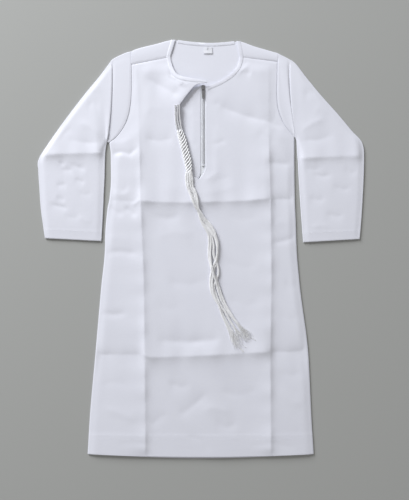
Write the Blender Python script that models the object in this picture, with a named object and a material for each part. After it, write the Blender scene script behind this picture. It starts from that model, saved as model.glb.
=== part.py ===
"""A child's long white robe, laid out flat on its back with the sleeves down.

Sizes are millimetres until the mesh is written, which is in metres. X is across the body, Y runs
from hem to neck, Z is up from the surface that the robe lies on. The origin is on that surface,
below the middle of the whole outline.
"""

import math

import bmesh
import bpy
from mathutils import Vector
from mathutils.bvhtree import BVHTree

MM = 0.001

# Cloth: every sewn piece is a wall this thick, and layers and seams stay this far apart
WALL = 1.0
GAP = 0.3
LAYER = WALL + GAP
BACK_LEVEL = WALL / 2
FRONT_LEVEL = BACK_LEVEL + LAYER
ZIP_LEVEL = FRONT_LEVEL + LAYER
FLY_LEVEL = ZIP_LEVEL + LAYER
FOLD_RADIUS = LAYER / 2
EDGE_ROUND = FOLD_RADIUS + WALL / 2

# Left and right edges of the body: height along Y, then X
LEFT_SIDE = (
    (-378.9, -209.7), (-314.5, -206.0), (-191.8, -195.3), (-69.0, -184.5), (0.0, -177.8), (25.3, -177.3),
    (74.2, -173.1), (93.2, -169.4), (130.1, -166.6), (175.8, -167.1), (196.1, -169.7),
)
LEFT_ARMHOLE = (
    (196.1, -169.7), (206.3, -157.7), (220.2, -146.6), (238.7, -137.4), (257.2, -132.6), (277.5, -130.0),
    (305.0, -128.9), (335.0, -129.0), (365.4, -129.0),
)
RIGHT_SIDE = (
    (-378.3, 207.5), (-314.5, 203.6), (-191.8, 197.5), (-69.0, 182.1), (0.0, 176.2), (52.5, 174.4),
    (106.7, 172.5), (159.1, 172.0), (206.3, 172.0),
)
RIGHT_ARMHOLE = (
    (206.3, 172.0), (221.1, 160.5), (235.9, 150.3), (253.5, 143.8), (268.2, 140.7), (285.0, 139.8),
    (311.0, 140.3), (336.0, 140.9), (362.0, 141.4),
)
HEM_BOW_FRONT = 4.4
HEM_BOW_BACK = 7.8
HEM_BOW_REACH = 110.0

# Fly edge of the left front, from the foot of the slit up round the tab and on along the neck
FLY_EDGE = (
    (128.0, -5.0), (136.0, -15.3), (155.4, -22.1), (175.8, -27.3), (196.1, -32.8), (212.8, -37.5),
    (229.4, -40.8), (246.1, -42.5), (260.9, -41.2), (275.5, -32.0), (290.5, -20.4), (298.4, -13.2),
    (302.4, -7.6), (304.2, -1.6), (304.9, 5.0), (305.4, 10.4), (306.6, 12.6), (308.6, 8.4), (311.0, 0.0),
    (313.2, -12.0), (315.2, -24.8), (317.8, -37.0), (323.4, -45.8), (333.9, -51.7), (345.0, -54.9),
    (355.2, -56.7),
)
# Right front, from the foot of the slit up beside the zip and on along the neck
ZIP_EDGE = (
    (128.0, -5.0), (134.0, 0.2), (142.0, 5.0), (153.6, 7.5), (196.1, 7.5), (286.8, 7.5), (296.4, 8.0),
    (300.8, 14.3), (305.2, 24.5), (310.1, 35.2), (317.6, 47.6), (326.5, 58.7), (337.6, 66.7),
    (348.7, 70.4), (355.2, 70.9),
)
CENTRE_X = -5.0

# Rows of cloth above the foot of the slit: height at the armhole, height at the opening or the neck
LEFT_ROWS = (
    (128.0, 128.0), (136.0, 136.0), (145.0, 145.0), (155.4, 155.4), (175.8, 175.8), (196.1, 196.1),
    (206.3, 206.3), (220.2, 221.0), (238.7, 238.7), (248.0, 250.0), (257.2, 260.9), (267.0, 272.9),
    (278.5, 290.5), (286.5, 298.4), (292.0, 302.4), (295.5, 304.2), (298.5, 304.9), (301.0, 305.4),
    (303.5, 306.6), (306.5, 308.6), (310.0, 311.0), (313.5, 313.2), (317.0, 316.4), (321.5, 323.4),
    (328.0, 333.9), (334.5, 345.0), (340.2, 354.9),
)
RIGHT_ROWS = (
    (128.0, 128.0), (134.0, 134.0), (142.0, 142.0), (153.6, 153.6), (175.8, 175.8), (196.1, 196.1),
    (206.3, 206.3), (213.5, 213.5), (221.1, 221.1), (235.9, 240.0), (253.5, 264.0), (268.2, 286.8),
    (283.1, 296.4), (292.0, 300.8), (300.0, 305.2), (308.0, 310.1), (317.0, 317.6), (325.0, 326.5),
    (332.5, 337.6), (339.5, 348.7), (345.6, 354.9),
)
LOWER_ROWS = (
    -378.9, -360.0, -342.0, -322.0, -285.0, -245.0, -220.0, -208.0, -200.0, -192.0, -180.0, -150.0,
    -110.0, -69.0, -30.0, 10.0, 45.0, 62.0, 74.0, 82.0, 90.0, 102.0, 115.0, 128.0,
)
BACK_ROWS = (
    -378.9, -342.0, -260.0, -180.0, -90.0, 0.0, 60.0, 118.0, 160.0, 196.1, 206.3, 213.0, 221.0, 229.0,
    237.5, 246.0, 257.2, 268.2, 277.5, 295.0,
)

# Shoulder line, the fold over which the back wraps to the front: X, then height along Y
SHOULDER_LINE = (
    (-129.0, 365.4), (-118.3, 370.0), (-85.6, 378.3), (-47.6, 386.7), (-20.8, 383.5), (10.6, 381.1),
    (38.4, 382.0), (64.8, 384.4), (99.8, 373.9), (141.4, 362.0),
)
NECK_LEFT_X = -47.6
NECK_RIGHT_X = 64.8
# Shoulder seams on the front: X and Y at the armhole, X and Y at the neck
SEAM_LEFT = (-129.0, 340.4, -56.7, 355.2)
SEAM_RIGHT = (141.1, 345.9, 70.9, 355.2)

# Packing folds that run up the body: height along Y, left fold, right fold
UPRIGHT_FOLDS = (
    (-380.0, -104.0, 128.3), (-200.0, -105.9, 126.5), (-57.0, -107.8, 128.6), (81.0, -111.8, 127.7),
    (188.0, -114.2, 124.2), (257.0, -116.1, 123.9), (355.0, -119.8, 123.5),
)
UPRIGHT_FOLD_RISE = 0.9
UPRIGHT_FOLD_WIDTH = 6.0
FOLD_SOFT = 4.0
# Packing folds across the body: Y, rise between the upright folds, rise on the sides of the body
CROSS_FOLDS = ((82.0, 1.5, -0.7), (-200.0, 1.4, -0.6))
CROSS_FOLD_WIDTH = 10.0
SLACK_RISE = 0.8
SLACK_EDGE = 32.0

# Fly cover: how far it stands up at the neck, and where along X and Y it starts to lift
FLY_LIFT = 4.2
FLY_LIFT_X = (-84.0, -16.0)
FLY_LIFT_Y = (236.0, 284.0)
FLY_LIFT_FADE_Y = (312.0, 352.0)

# Where the front is raised over pieces below it: X from and to, Y from and to, fade along X and Y
OVER_FOOT = (-47.0, 6.0, 112.0, 136.0, 22.0, 22.0)
OVER_PLACKET = (-47.0, 30.0, 136.0, 300.0, 22.0, 22.0)
OVER_TAPE = (-12.0, 17.0, 134.0, 306.0, 14.0, 12.0)

# Neck binding: the ends that its front lengths add to the fronts' own edges, X and Y, and the X of
# the points along the back neck
BINDING_WIDTH = 7.0
BINDING_INSET = 0.4
BINDING_STEP = 8.0
BINDING_TAPER = 4.4
BINDING_TAPER_RATE = 0.2
BINDING_TAB_END = (10.2, 307.4)
BINDING_LEFT_END = ((-54.0, 366.0), (-48.6, 384.6))
BINDING_RIGHT_END = ((69.2, 366.0), (65.8, 382.6))
BINDING_BACK_X = (-43.0, -20.8, 10.6, 38.4, 60.5)

# Placket under the fly
PLACKET_LEFT = -45.0
PLACKET_RIGHT = -1.0
PLACKET_TOP = 297.0
PLACKET_FOOT = 116.0
PLACKET_POINT = 9.0
# It climbs over the tape's edge between these two X, and its rows lie at these shares of its height
PLACKET_STEP_X = (-32.0, -12.0)
PLACKET_ROWS = (0.0, 0.03, 0.07, 0.12, 0.3, 0.5, 0.7, 0.9, 1.0)
PLACKET_COLUMNS = (0.0, 0.25, 0.5, 0.75, 1.0)

# Zip, size 3
ZIP_X = 3.6
TAPE_WIDTH = 22.0
TAPE_TOP = 300.0
TAPE_FOOT = 142.0
CHAIN_WIDTH = 4.2
CHAIN_HEIGHT = 1.6
CHAIN_TOP = 290.6
CHAIN_FOOT = 156.0
STOP_LENGTH = 3.0
STOP_WIDTH = 5.2
STOP_HEIGHT = 1.8
SLIDER_LENGTH = 11.0
SLIDER_FRONT = 291.2
SLIDER_WIDE = 7.0
SLIDER_NARROW = 5.4
SLIDER_HEIGHT = 1.6
CROWN_WIDTH = 2.0
CROWN_THICKNESS = 0.8
CROWN_FRONT = 1.9
CROWN_BACK = 3.6
PULL_HINGE_Y = 294.6
PULL_THICKNESS = 0.9
PULL_CLEARANCE = 0.3
PULL_LENGTH = 17.6
PULL_WIDE = 5.4
PULL_TIP = 4.2
PULL_EYE_LENGTH = 2.7
PULL_EYE_WIDTH = 3.2
PULL_BAR = 0.9

# Tassel: its line from the fly's edge to the tip, X and Y
TASSEL_LINE = (
    (-43.9, 264.6), (-43.6, 241.0), (-39.6, 218.0), (-34.4, 201.0), (-31.0, 187.0), (-27.2, 172.0),
    (-24.0, 158.0), (-22.4, 141.2), (-22.9, 120.2), (-16.2, 97.0), (-6.8, 76.0), (2.6, 57.0),
    (14.0, 40.0), (21.6, 18.0), (23.4, -10.0), (25.2, -40.0), (24.4, -66.0), (31.0, -92.0),
    (43.5, -115.5), (55.5, -134.5), (66.0, -152.5), (75.0, -171.0),
)
TASSEL_CORD_LENGTH = 46.0
TASSEL_BRAID_LENGTH = 80.0
TASSEL_HEIGHT = 3.6
BRAID_PITCH = 5.9
BRAID_RELIEF = 0.5
LOCKS_ACROSS = 8
LOCKS_HIGH = 3
LOCK_STEPS = 15
LOCK_FILL = 0.72
# Distance from the fly's edge along the tassel, and its width there
TASSEL_WIDTH = (
    (0.0, 11.5), (38.0, 10.0), (50.0, 11.5), (60.0, 13.8), (100.0, 13.8), (116.0, 12.2), (126.0, 10.0),
    (148.0, 10.7), (168.0, 12.0), (190.0, 8.5), (215.0, 10.5), (250.0, 16.0), (277.0, 19.0),
    (318.0, 15.5), (332.0, 12.5), (360.0, 15.0), (394.0, 11.5), (430.0, 20.0), (471.0, 29.0),
)

LABEL_X = (4.2, 20.3)
LABEL_Y = (361.1, 373.0)

# Sleeves, one row for each ring of cloth from armhole to cuff: X and Y on the outer edge,
# X and Y on the inner edge, rise of the upper layer at the outer edge and at the inner edge
LEFT_SLEEVE = (
    (-146.0, 359.8, -171.4, 196.6, 0.3, 0.6),
    (-157.5, 354.4, -172.5, 196.8, 0.4, 1.6),
    (-164.2, 350.2, -173.6, 197.0, 0.4, 2.4),
    (-168.0, 345.6, -174.9, 194.2, 0.1, 0.1),
    (-185.5, 322.3, -175.5, 191.6, 0.6, 0.3),
    (-213.9, 287.9, -175.9, 188.4, 0.8, 0.4),
    (-246.6, 245.7, -176.2, 184.8, 0.8, 0.5),
    (-279.2, 200.2, -176.5, 181.2, 0.8, 0.8),
    (-293.6, 178.7, -176.8, 177.8, 0.8, 1.0),
    (-297.6, 172.2, -177.0, 174.6, 1.0, 1.3),
    (-300.5, 165.6, -177.2, 170.4, 0.2, 0.1),
    (-301.3, 145.0, -178.0, 136.0, 0.7, 0.7),
    (-299.3, 112.0, -179.4, 105.0, 0.8, 0.6),
    (-296.4, 72.0, -180.8, 72.0, 0.6, 0.7),
    (-292.2, 41.0, -182.6, 38.0, 0.5, 0.5),
    (-289.1, 20.0, -184.0, 14.6, 0.1, 0.1),
)
RIGHT_SLEEVE = (
    (152.5, 356.3, 173.5, 206.6, 0.3, 0.6),
    (162.5, 351.0, 174.3, 206.8, 0.4, 1.6),
    (169.6, 346.8, 175.0, 207.0, 0.4, 2.4),
    (174.2, 342.6, 175.6, 203.4, 0.1, 0.1),
    (195.4, 315.4, 175.9, 200.0, 0.6, 0.3),
    (223.4, 281.8, 176.1, 195.4, 0.8, 0.4),
    (250.9, 251.4, 176.3, 190.0, 0.8, 0.5),
    (278.9, 217.9, 176.5, 184.0, 0.8, 0.8),
    (297.0, 197.6, 176.8, 178.0, 0.8, 1.0),
    (301.0, 183.0, 177.2, 172.0, 1.0, 1.3),
    (301.3, 173.0, 177.8, 166.0, 0.2, 0.1),
    (301.0, 145.0, 179.2, 140.0, 0.7, 0.7),
    (299.6, 112.0, 181.4, 105.0, 0.8, 0.6),
    (297.6, 76.0, 183.6, 70.0, 0.6, 0.7),
    (295.0, 40.0, 186.0, 38.0, 0.5, 0.5),
    (292.9, 18.5, 187.9, 12.4, 0.1, 0.1),
)
SLEEVE_COLUMNS = len(LEFT_ARMHOLE) - 1
EDGE_STEPS = 4
SEAM_GAP = 0.4

CLOTH_COLOUR = (0.78, 0.80, 0.86)
COTTON_TAPE_COLOUR = (0.58, 0.60, 0.64)
TEETH_COLOUR = (0.62, 0.63, 0.66)
METAL_COLOUR = (0.42, 0.42, 0.43)
TASSEL_COLOUR = (0.74, 0.74, 0.76)


def smooth_step(low, high, value):
    share = min(max((value - low) / (high - low), 0.0), 1.0)
    return share * share * (3 - 2 * share)


def plateau(value, low, high, soft):
    """One between low and high, fading to nothing over the soft distance outside them."""
    return smooth_step(low - soft, low, value) * (1 - smooth_step(high, high + soft, value))


def inside(area, x, y):
    """One inside an area given by X from and to, Y from and to and its fades, nothing well outside it."""
    left, right, foot, top, fade_x, fade_y = area
    return plateau(x, left, right, fade_x) * plateau(y, foot, top, fade_y)


def ridge(distance, width):
    return math.exp(-(distance / width) ** 2)


def curve(table, at, column=1):
    """Value at a position on a smooth line through the table's rows, which never overshoots them."""
    rows = [(row[0], row[column]) for row in table]
    if at <= rows[0][0]:
        return rows[0][1]
    if at >= rows[-1][0]:
        return rows[-1][1]
    slopes = [(b[1] - a[1]) / (b[0] - a[0]) for a, b in zip(rows, rows[1:])]
    span = next(i for i in range(len(slopes)) if at <= rows[i + 1][0])

    def tangent(i):
        if i == 0 or i == len(rows) - 1:
            return slopes[min(i, len(slopes) - 1)]
        before, after = slopes[i - 1], slopes[i]
        return 0.0 if before * after <= 0 else 2 * before * after / (before + after)

    (x0, y0), (x1, y1) = rows[span], rows[span + 1]
    length = x1 - x0
    t = (at - x0) / length
    return (
        y0 * (1 + 2 * t) * (1 - t) ** 2
        + tangent(span) * length * t * (1 - t) ** 2
        + y1 * t * t * (3 - 2 * t)
        + tangent(span + 1) * length * t * t * (t - 1)
    )


def between(start, end, share):
    return start + (end - start) * share


def material(name, colour, roughness, metallic=0.0):
    finish = bpy.data.materials.new(name)
    finish.use_nodes = True
    shader = finish.node_tree.nodes["Principled BSDF"]
    shader.inputs["Base Color"].default_value = (*colour, 1.0)
    shader.inputs["Roughness"].default_value = roughness
    shader.inputs["Metallic"].default_value = metallic
    return finish


def write_object(name, bm, finish, smooth=True):
    """Make an object of a bmesh in millimetres."""
    bmesh.ops.scale(bm, vec=Vector((MM, MM, MM)), verts=bm.verts)
    mesh = bpy.data.meshes.new(name)
    bm.to_mesh(mesh)
    bm.free()
    if smooth:
        mesh.shade_smooth()
        mesh.set_sharp_from_angle(angle=math.radians(40))
    mesh.materials.append(finish)
    obj = bpy.data.objects.new(name, mesh)
    bpy.context.scene.collection.objects.link(obj)
    return obj


def cloth(name, patches, colour=CLOTH_COLOUR):
    """Sew patches of points into one sheet and give it the cloth's thickness."""
    bm = bmesh.new()
    for rows in patches:
        columns = len(rows[0])
        grid = bmesh.ops.create_grid(bm, x_segments=columns - 1, y_segments=len(rows) - 1, size=1.0)
        for vertex in grid["verts"]:
            column = round((vertex.co.x + 1) / 2 * (columns - 1))
            row = round((vertex.co.y + 1) / 2 * (len(rows) - 1))
            vertex.co = rows[row][column]
    bmesh.ops.remove_doubles(bm, verts=bm.verts, dist=0.01)
    obj = write_object(name, bm, material(name, colour, 0.5))
    wall = obj.modifiers.new("wall", "SOLIDIFY")
    wall.thickness = WALL * MM
    wall.offset = 0.0
    wall.use_even_offset = True
    lay_flat(obj)
    return obj


def lay_flat(obj):
    """Fix the wall, and press whatever it pushed below the ground flat on it."""
    bpy.context.view_layer.update()
    graph = bpy.context.evaluated_depsgraph_get()
    mesh = bpy.data.meshes.new_from_object(obj.evaluated_get(graph))
    obj.modifiers.clear()
    obj.data = mesh
    for vertex in mesh.vertices:
        vertex.co.z = max(vertex.co.z, 0.0)


def body_edge(side, y):
    """X of the body's left or right edge: its side seam, and above the underarm its armhole."""
    seam, armhole = (LEFT_SIDE, LEFT_ARMHOLE) if side < 0 else (RIGHT_SIDE, RIGHT_ARMHOLE)
    return curve(armhole if y > armhole[0][0] else seam, y)


def front_slack(x, y):
    """Rise of the front where it lies loosely, with its packing folds."""
    left, right = body_edge(-1, y), body_edge(1, y)
    edge = smooth_step(0.0, SLACK_EDGE, min(x - left, right - x))
    top = 1 - smooth_step(SEAM_LEFT[1] - SLACK_EDGE, SEAM_LEFT[1], y)
    fold_left, fold_right = curve(UPRIGHT_FOLDS, y, 1), curve(UPRIGHT_FOLDS, y, 2)
    past_left = smooth_step(fold_left - FOLD_SOFT, fold_left + FOLD_SOFT, x)
    past_right = smooth_step(fold_right - FOLD_SOFT, fold_right + FOLD_SOFT, x)
    middle = past_left * (1 - past_right)
    rise = SLACK_RISE
    for fold_x in (fold_left, fold_right):
        rise += UPRIGHT_FOLD_RISE * ridge(x - fold_x, UPRIGHT_FOLD_WIDTH)
    for fold_y, in_middle, at_sides in CROSS_FOLDS:
        rise += between(at_sides, in_middle, middle) * ridge(y - fold_y, CROSS_FOLD_WIDTH)
    return rise * edge * top


def front_level(x, y, side):
    """Middle height of the front's cloth. Side is -1 left of the slit, 1 right of it."""
    over_foot = (FLY_LEVEL - FRONT_LEVEL) * inside(OVER_FOOT, x, y)
    if side < 0:
        over_zip = (FLY_LEVEL - FRONT_LEVEL) * inside(OVER_PLACKET, x, y)
        lift = FLY_LIFT * smooth_step(*FLY_LIFT_X, x) * smooth_step(*FLY_LIFT_Y, y)
        lift *= 1 - smooth_step(*FLY_LIFT_FADE_Y, y)
    else:
        over_zip = (ZIP_LEVEL - FRONT_LEVEL) * inside(OVER_TAPE, x, y)
        lift = 0.0
    return FRONT_LEVEL + max(front_slack(x, y), over_foot, over_zip) + lift


def lanes(edge_x, fold_x, inner_x):
    """X of each column of points, from the body's edge across its upright fold to the middle."""
    toward = 1 if inner_x > edge_x else -1
    step = toward * min(UPRIGHT_FOLD_WIDTH, 0.45 * abs(fold_x - edge_x))
    beside = [between(edge_x, fold_x - step, share) for share in (0.0, 0.5, 1.0)]
    across = [between(fold_x + step, inner_x, share) for share in (0.0, 0.2, 0.4, 0.6, 0.8, 1.0)]
    return beside + [fold_x] + across


def front_row(side, edge_y, inner_x, inner_y):
    """Points across one side of the front, from the body's edge to the middle."""
    edge_x = body_edge(side, edge_y)
    fold_x = curve(UPRIGHT_FOLDS, edge_y, 1 if side < 0 else 2)
    bow = HEM_BOW_FRONT * (1 - smooth_step(0.0, HEM_BOW_REACH, edge_y - LOWER_ROWS[0]))
    points = []
    for x in lanes(edge_x, fold_x, inner_x):
        share = (x - edge_x) / (inner_x - edge_x)
        y = between(edge_y, inner_y, share) - bow * math.sin(share * math.pi / 2)
        points.append(Vector((x, y, front_level(x, y, side))))
    return points


def make_front():
    lower = []
    for y in LOWER_ROWS:
        lower.append(front_row(-1, y, CENTRE_X, y) + front_row(1, y, CENTRE_X, y)[-2::-1])
    fly = [front_row(-1, armhole_y, curve(FLY_EDGE, y), y) for armhole_y, y in LEFT_ROWS]
    zip_side = [front_row(1, armhole_y, curve(ZIP_EDGE, y), y)[::-1] for armhole_y, y in RIGHT_ROWS]
    return cloth("front_panel", (lower, fly, zip_side))


def back_point(x_share, y_share, low_y):
    """Point of the back above a height, where its rows bend to follow the shoulder line."""
    low_x = between(body_edge(-1, low_y), body_edge(1, low_y), x_share)
    top_x = between(SHOULDER_LINE[0][0], SHOULDER_LINE[-1][0], x_share)
    x = between(low_x, top_x, y_share)
    y = between(low_y, curve(SHOULDER_LINE, top_x) - EDGE_ROUND, y_share)
    return Vector((x, y, BACK_LEVEL))


def make_back():
    left_x, right_x = SHOULDER_LINE[0][0], SHOULDER_LINE[-1][0]
    neck = [(x - left_x) / (right_x - left_x) for x in (NECK_LEFT_X, NECK_RIGHT_X)]
    left_shares = [neck[0] * i / 4 for i in range(5)]
    right_shares = [between(neck[1], 1.0, i / 4) for i in range(5)]
    shares = left_shares + [between(*neck, i / 5) for i in range(1, 5)] + right_shares
    rows = []
    for y in BACK_ROWS:
        left, right = body_edge(-1, y), body_edge(1, y)
        bow = HEM_BOW_BACK * (1 - smooth_step(0.0, HEM_BOW_REACH, y - LOWER_ROWS[0]))
        rows.append([
            Vector((between(left, right, share), y - bow * math.sin(share * math.pi), BACK_LEVEL))
            for share in shares
        ])
    rows += [[back_point(share, up / 4, BACK_ROWS[-1]) for share in shares] for up in range(1, 5)]
    flaps = [
        shoulder_flap([shares[i] for i in columns], seam)
        for columns, seam in ((range(5), SEAM_LEFT), (range(9, 14), SEAM_RIGHT))
    ]
    return cloth("back_panel", [rows] + flaps)


def shoulder_flap(shares, seam):
    """The back's cloth from the shoulder line over the fold and down to the shoulder seam."""
    armhole_x, armhole_y, neck_x, neck_y = seam
    line = [back_point(share, 1.0, BACK_ROWS[-1]) for share in shares]
    rows = []
    for step in range(EDGE_STEPS + 1):
        angle = math.pi * step / EDGE_STEPS - math.pi / 2
        round_edge = Vector((0, math.cos(angle), math.sin(angle) + 1)) * FOLD_RADIUS
        rows.append([point + round_edge for point in line])
    ends = []
    for point in line:
        share = (point.x - line[0].x) / (line[-1].x - line[0].x)
        if armhole_x > neck_x:
            share = 1 - share
        x = between(armhole_x, neck_x, share)
        ends.append(Vector((x, between(armhole_y, neck_y, share) + GAP / 2, FRONT_LEVEL)))
    for share in (0.4, 1.0):
        rows.append([top.lerp(end, share) for top, end in zip(rows[EDGE_STEPS], ends)])
    return rows


def ring(inner_to_outer, upper_rise):
    """Closed ring of points round a flat sleeve, given its line on the ground and its upper layer."""
    under = [inner_to_outer(i / SLEEVE_COLUMNS) for i in range(SLEEVE_COLUMNS + 1)]
    points = [Vector((p.x, p.y, BACK_LEVEL)) for p in under]
    upper = [
        Vector((p.x, p.y, FRONT_LEVEL + upper_rise(i / SLEEVE_COLUMNS))) for i, p in enumerate(under)
    ]
    for end, before in ((-1, -2), (0, 1)):
        away = (under[end] - under[before]).normalized() * FOLD_RADIUS
        radius = (upper[end].z - BACK_LEVEL) / 2
        turn = []
        for step in range(1, EDGE_STEPS):
            angle = math.pi * step / EDGE_STEPS - math.pi / 2
            lift = Vector((0, 0, radius * (1 + math.sin(angle))))
            turn.append(Vector((under[end].x, under[end].y, BACK_LEVEL)) + away * math.cos(angle) + lift)
        if end == -1:
            points += turn + upper[::-1]
        else:
            points += turn[::-1]
    return points + points[:1]


def sleeve_head(side, armhole):
    """The sleeve's end at the armhole, a seam's gap outside it, from the underarm to the shoulder."""
    spots = [Vector((x, y, 0)) for y, x in armhole]
    points = []
    for i, spot in enumerate(spots):
        along = (spots[min(i + 1, SLEEVE_COLUMNS)] - spots[max(i - 1, 0)]).normalized()
        inset = {0: EDGE_ROUND, SLEEVE_COLUMNS: -EDGE_ROUND}.get(i, 0.0)
        points.append(spot + Vector((along.y, -along.x, 0)) * side * SEAM_GAP + along * inset)
    return points


def make_sleeve(name, side, armhole, table):
    head = sleeve_head(side, armhole)
    rings = [ring(lambda share: head[round(share * SLEEVE_COLUMNS)], lambda share: 0.0)]
    for outer_x, outer_y, inner_x, inner_y, outer_rise, inner_rise in table:
        outer, inner = Vector((outer_x, outer_y, 0)), Vector((inner_x, inner_y, 0))
        inset = (outer - inner).normalized() * EDGE_ROUND

        def rise(share):
            edges = smooth_step(0.0, 0.12, share) * (1 - smooth_step(0.88, 1.0, share))
            return edges * (between(inner_rise, outer_rise, share) + 0.3 * math.sin(share * math.pi))

        rings.append(ring(lambda share: (inner + inset).lerp(outer - inset, share), rise))
    if side < 0:
        rings = [points[::-1] for points in rings]
    return cloth(name, (rings,))


def surface(*objects):
    """Ray target of finished pieces, with their thickness."""
    bpy.context.view_layer.update()
    graph = bpy.context.evaluated_depsgraph_get()
    return [BVHTree.FromObject(obj, graph) for obj in objects]


def top_of(targets, x, y, reach):
    """Highest top, in millimetres, of the pieces within reach of a place."""
    best = 0.0
    for turn in range(9):
        angle = turn * math.tau / 8
        away = reach if turn < 8 else 0.0
        start = Vector((x + away * math.cos(angle), y + away * math.sin(angle), 100.0)) * MM
        for target in targets:
            hit = target.ray_cast(start, Vector((0, 0, -1)))[0]
            if hit:
                best = max(best, hit.z / MM)
    return best


class Line:
    """Smooth line through X and Y points, read by its length."""

    def __init__(self, points):
        spots = [Vector(p) for p in points]
        ends = [spots[0] * 2 - spots[1]] + spots + [spots[-1] * 2 - spots[-2]]
        self.spots = []
        for a, b, c, d in zip(ends, ends[1:], ends[2:], ends[3:]):
            for step in range(10):
                t = step / 10
                bend, twist = 2 * a - 5 * b + 4 * c - d, 3 * b - a - 3 * c + d
                self.spots.append(0.5 * (2 * b + (c - a) * t + bend * t ** 2 + twist * t ** 3))
        self.spots.append(spots[-1])
        self.reached = [0.0]
        for a, b in zip(self.spots, self.spots[1:]):
            self.reached.append(self.reached[-1] + (b - a).length)
        self.length = self.reached[-1]

    def at(self, distance):
        """Place, and the direction to its left."""
        distance = min(max(distance, 0.0), self.length)
        i = next(i for i in range(len(self.spots) - 1) if distance <= self.reached[i + 1] + 1e-9)
        share = (distance - self.reached[i]) / (self.reached[i + 1] - self.reached[i])
        step = self.spots[i + 1] - self.spots[i]
        return self.spots[i] + step * share, Vector((-step.y, step.x)).normalized()


def make_binding(name, edge_points, inward, targets, taper=0.0):
    """Narrow strip that lies along the neck's edge on the pieces it finishes."""
    line = Line(edge_points)
    count = max(round(line.length / BINDING_STEP), 4)
    rows = []
    for i in range(count + 1):
        distance = line.length * i / count
        place, left = line.at(distance)
        width = BINDING_WIDTH - max(taper - BINDING_TAPER_RATE * distance, 0.0)
        row = []
        for share in (0.0, 0.5, 1.0):
            spot = place + left * inward * (BINDING_INSET + width * share)
            level = top_of(targets, spot.x, spot.y, 2.6) + GAP + WALL * 0.6
            row.append(Vector((spot.x, spot.y, level)))
        rows.append(row if inward < 0 else row[::-1])
    return cloth(name, (rows,))


def make_placket():
    rows = []
    for step in PLACKET_ROWS:
        y = between(PLACKET_FOOT, PLACKET_TOP, step)
        point = PLACKET_POINT * (1 - smooth_step(0.0, 0.14, step))
        columns = [between(PLACKET_LEFT, PLACKET_RIGHT - point, share) for share in PLACKET_COLUMNS]
        rows.append([
            Vector((x, y, between(FRONT_LEVEL, ZIP_LEVEL, smooth_step(*PLACKET_STEP_X, x)))) for x in columns
        ])
    return cloth("placket", (rows,))


def make_tape():
    rows = [
        [Vector((ZIP_X + TAPE_WIDTH * (share - 0.5), y, FRONT_LEVEL)) for share in (0.0, 1.0)]
        for y in (TAPE_FOOT, TAPE_TOP)
    ]
    return cloth("zip_tape", (rows,), COTTON_TAPE_COLOUR)


def prism(outline, low, high, rounding=0.0):
    """Solid of an outline between two heights, with its upper edges rounded."""
    bm = bmesh.new()
    face = bm.faces.new([bm.verts.new((x, y, low)) for x, y in outline])
    made = bmesh.ops.extrude_face_region(bm, geom=[face])
    raised = [part for part in made["geom"] if isinstance(part, bmesh.types.BMVert)]
    bmesh.ops.translate(bm, vec=(0, 0, high - low), verts=raised)
    bmesh.ops.recalc_face_normals(bm, faces=bm.faces)
    if rounding:
        edges = [e for e in bm.edges if all(abs(v.co.z - high) < 1e-4 for v in e.verts)]
        bmesh.ops.bevel(bm, geom=edges, offset=rounding, segments=2, profile=0.5, affect="EDGES", material=-1)
    return bm


def tapered(wide, narrow, back_y, front_y, corner):
    """Outline about the zip's line, wide at the back and narrow at the front, with cut corners."""
    half_wide, half_narrow = wide / 2, narrow / 2
    right = (
        (half_narrow - corner, front_y), (half_narrow, front_y + corner),
        (half_wide, back_y - corner), (half_wide - corner, back_y),
    )
    return [(ZIP_X + x, y) for x, y in right] + [(ZIP_X - x, y) for x, y in right[::-1]]


def make_zip():
    teeth = material("zip_chain", TEETH_COLOUR, 0.5)
    metal = material("zip_slider", METAL_COLOUR, 0.35, 1.0)
    base = ZIP_LEVEL - WALL / 2
    chain = tapered(CHAIN_WIDTH, CHAIN_WIDTH, CHAIN_TOP, CHAIN_FOOT, 0.5)
    write_object("zip_chain", prism(chain, base, base + CHAIN_HEIGHT, 0.5), teeth)
    stop_top = CHAIN_FOOT - GAP
    stop = tapered(STOP_WIDTH, STOP_WIDTH, stop_top, stop_top - STOP_LENGTH, 0.6)
    crimped = prism(stop, base, base + STOP_HEIGHT, 0.4)
    write_object("zip_stop", crimped, material("zip_stop", METAL_COLOUR, 0.4, 1.0))
    body = tapered(SLIDER_WIDE, SLIDER_NARROW, SLIDER_FRONT + SLIDER_LENGTH, SLIDER_FRONT, 1.4)
    slider = write_object("zip_slider", prism(body, base, base + SLIDER_HEIGHT, 0.4), metal)
    crown = write_object("zip_crown", crown_solid(base + SLIDER_HEIGHT - 0.3), metal)
    join(slider, crown, "UNION")
    make_pull(base + SLIDER_HEIGHT)


def crown_solid(base):
    """Arch on the slider, under which the bar of the pull tab is held."""
    middle = PULL_HINGE_Y + (CROWN_BACK - CROWN_FRONT) / 2
    half = (CROWN_BACK + CROWN_FRONT) / 2
    height = PULL_BAR + PULL_CLEARANCE * 2 + 0.7 + CROWN_THICKNESS
    outline = []
    for long, tall, steps in (
        (half, height, range(9)),
        (half - CROWN_THICKNESS, height - CROWN_THICKNESS, range(8, -1, -1)),
    ):
        for i in steps:
            angle = math.pi * i / 8
            outline.append((middle + long * math.cos(angle), base + tall * math.sin(angle)))
    bm = bmesh.new()
    face = bm.faces.new([bm.verts.new((ZIP_X - CROWN_WIDTH / 2, y, z)) for y, z in outline])
    made = bmesh.ops.extrude_face_region(bm, geom=[face])
    moved = [part for part in made["geom"] if isinstance(part, bmesh.types.BMVert)]
    bmesh.ops.translate(bm, vec=(CROWN_WIDTH, 0, 0), verts=moved)
    bmesh.ops.recalc_face_normals(bm, faces=bm.faces)
    return bm


def join(obj, tool, operation):
    """Add a tool's solid to an object, or cut it away."""
    tool.hide_render = True
    tool.display_type = "WIRE"
    change = obj.modifiers.new(operation.lower(), "BOOLEAN")
    change.operation = operation
    change.solver = "EXACT"
    change.object = tool


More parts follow.
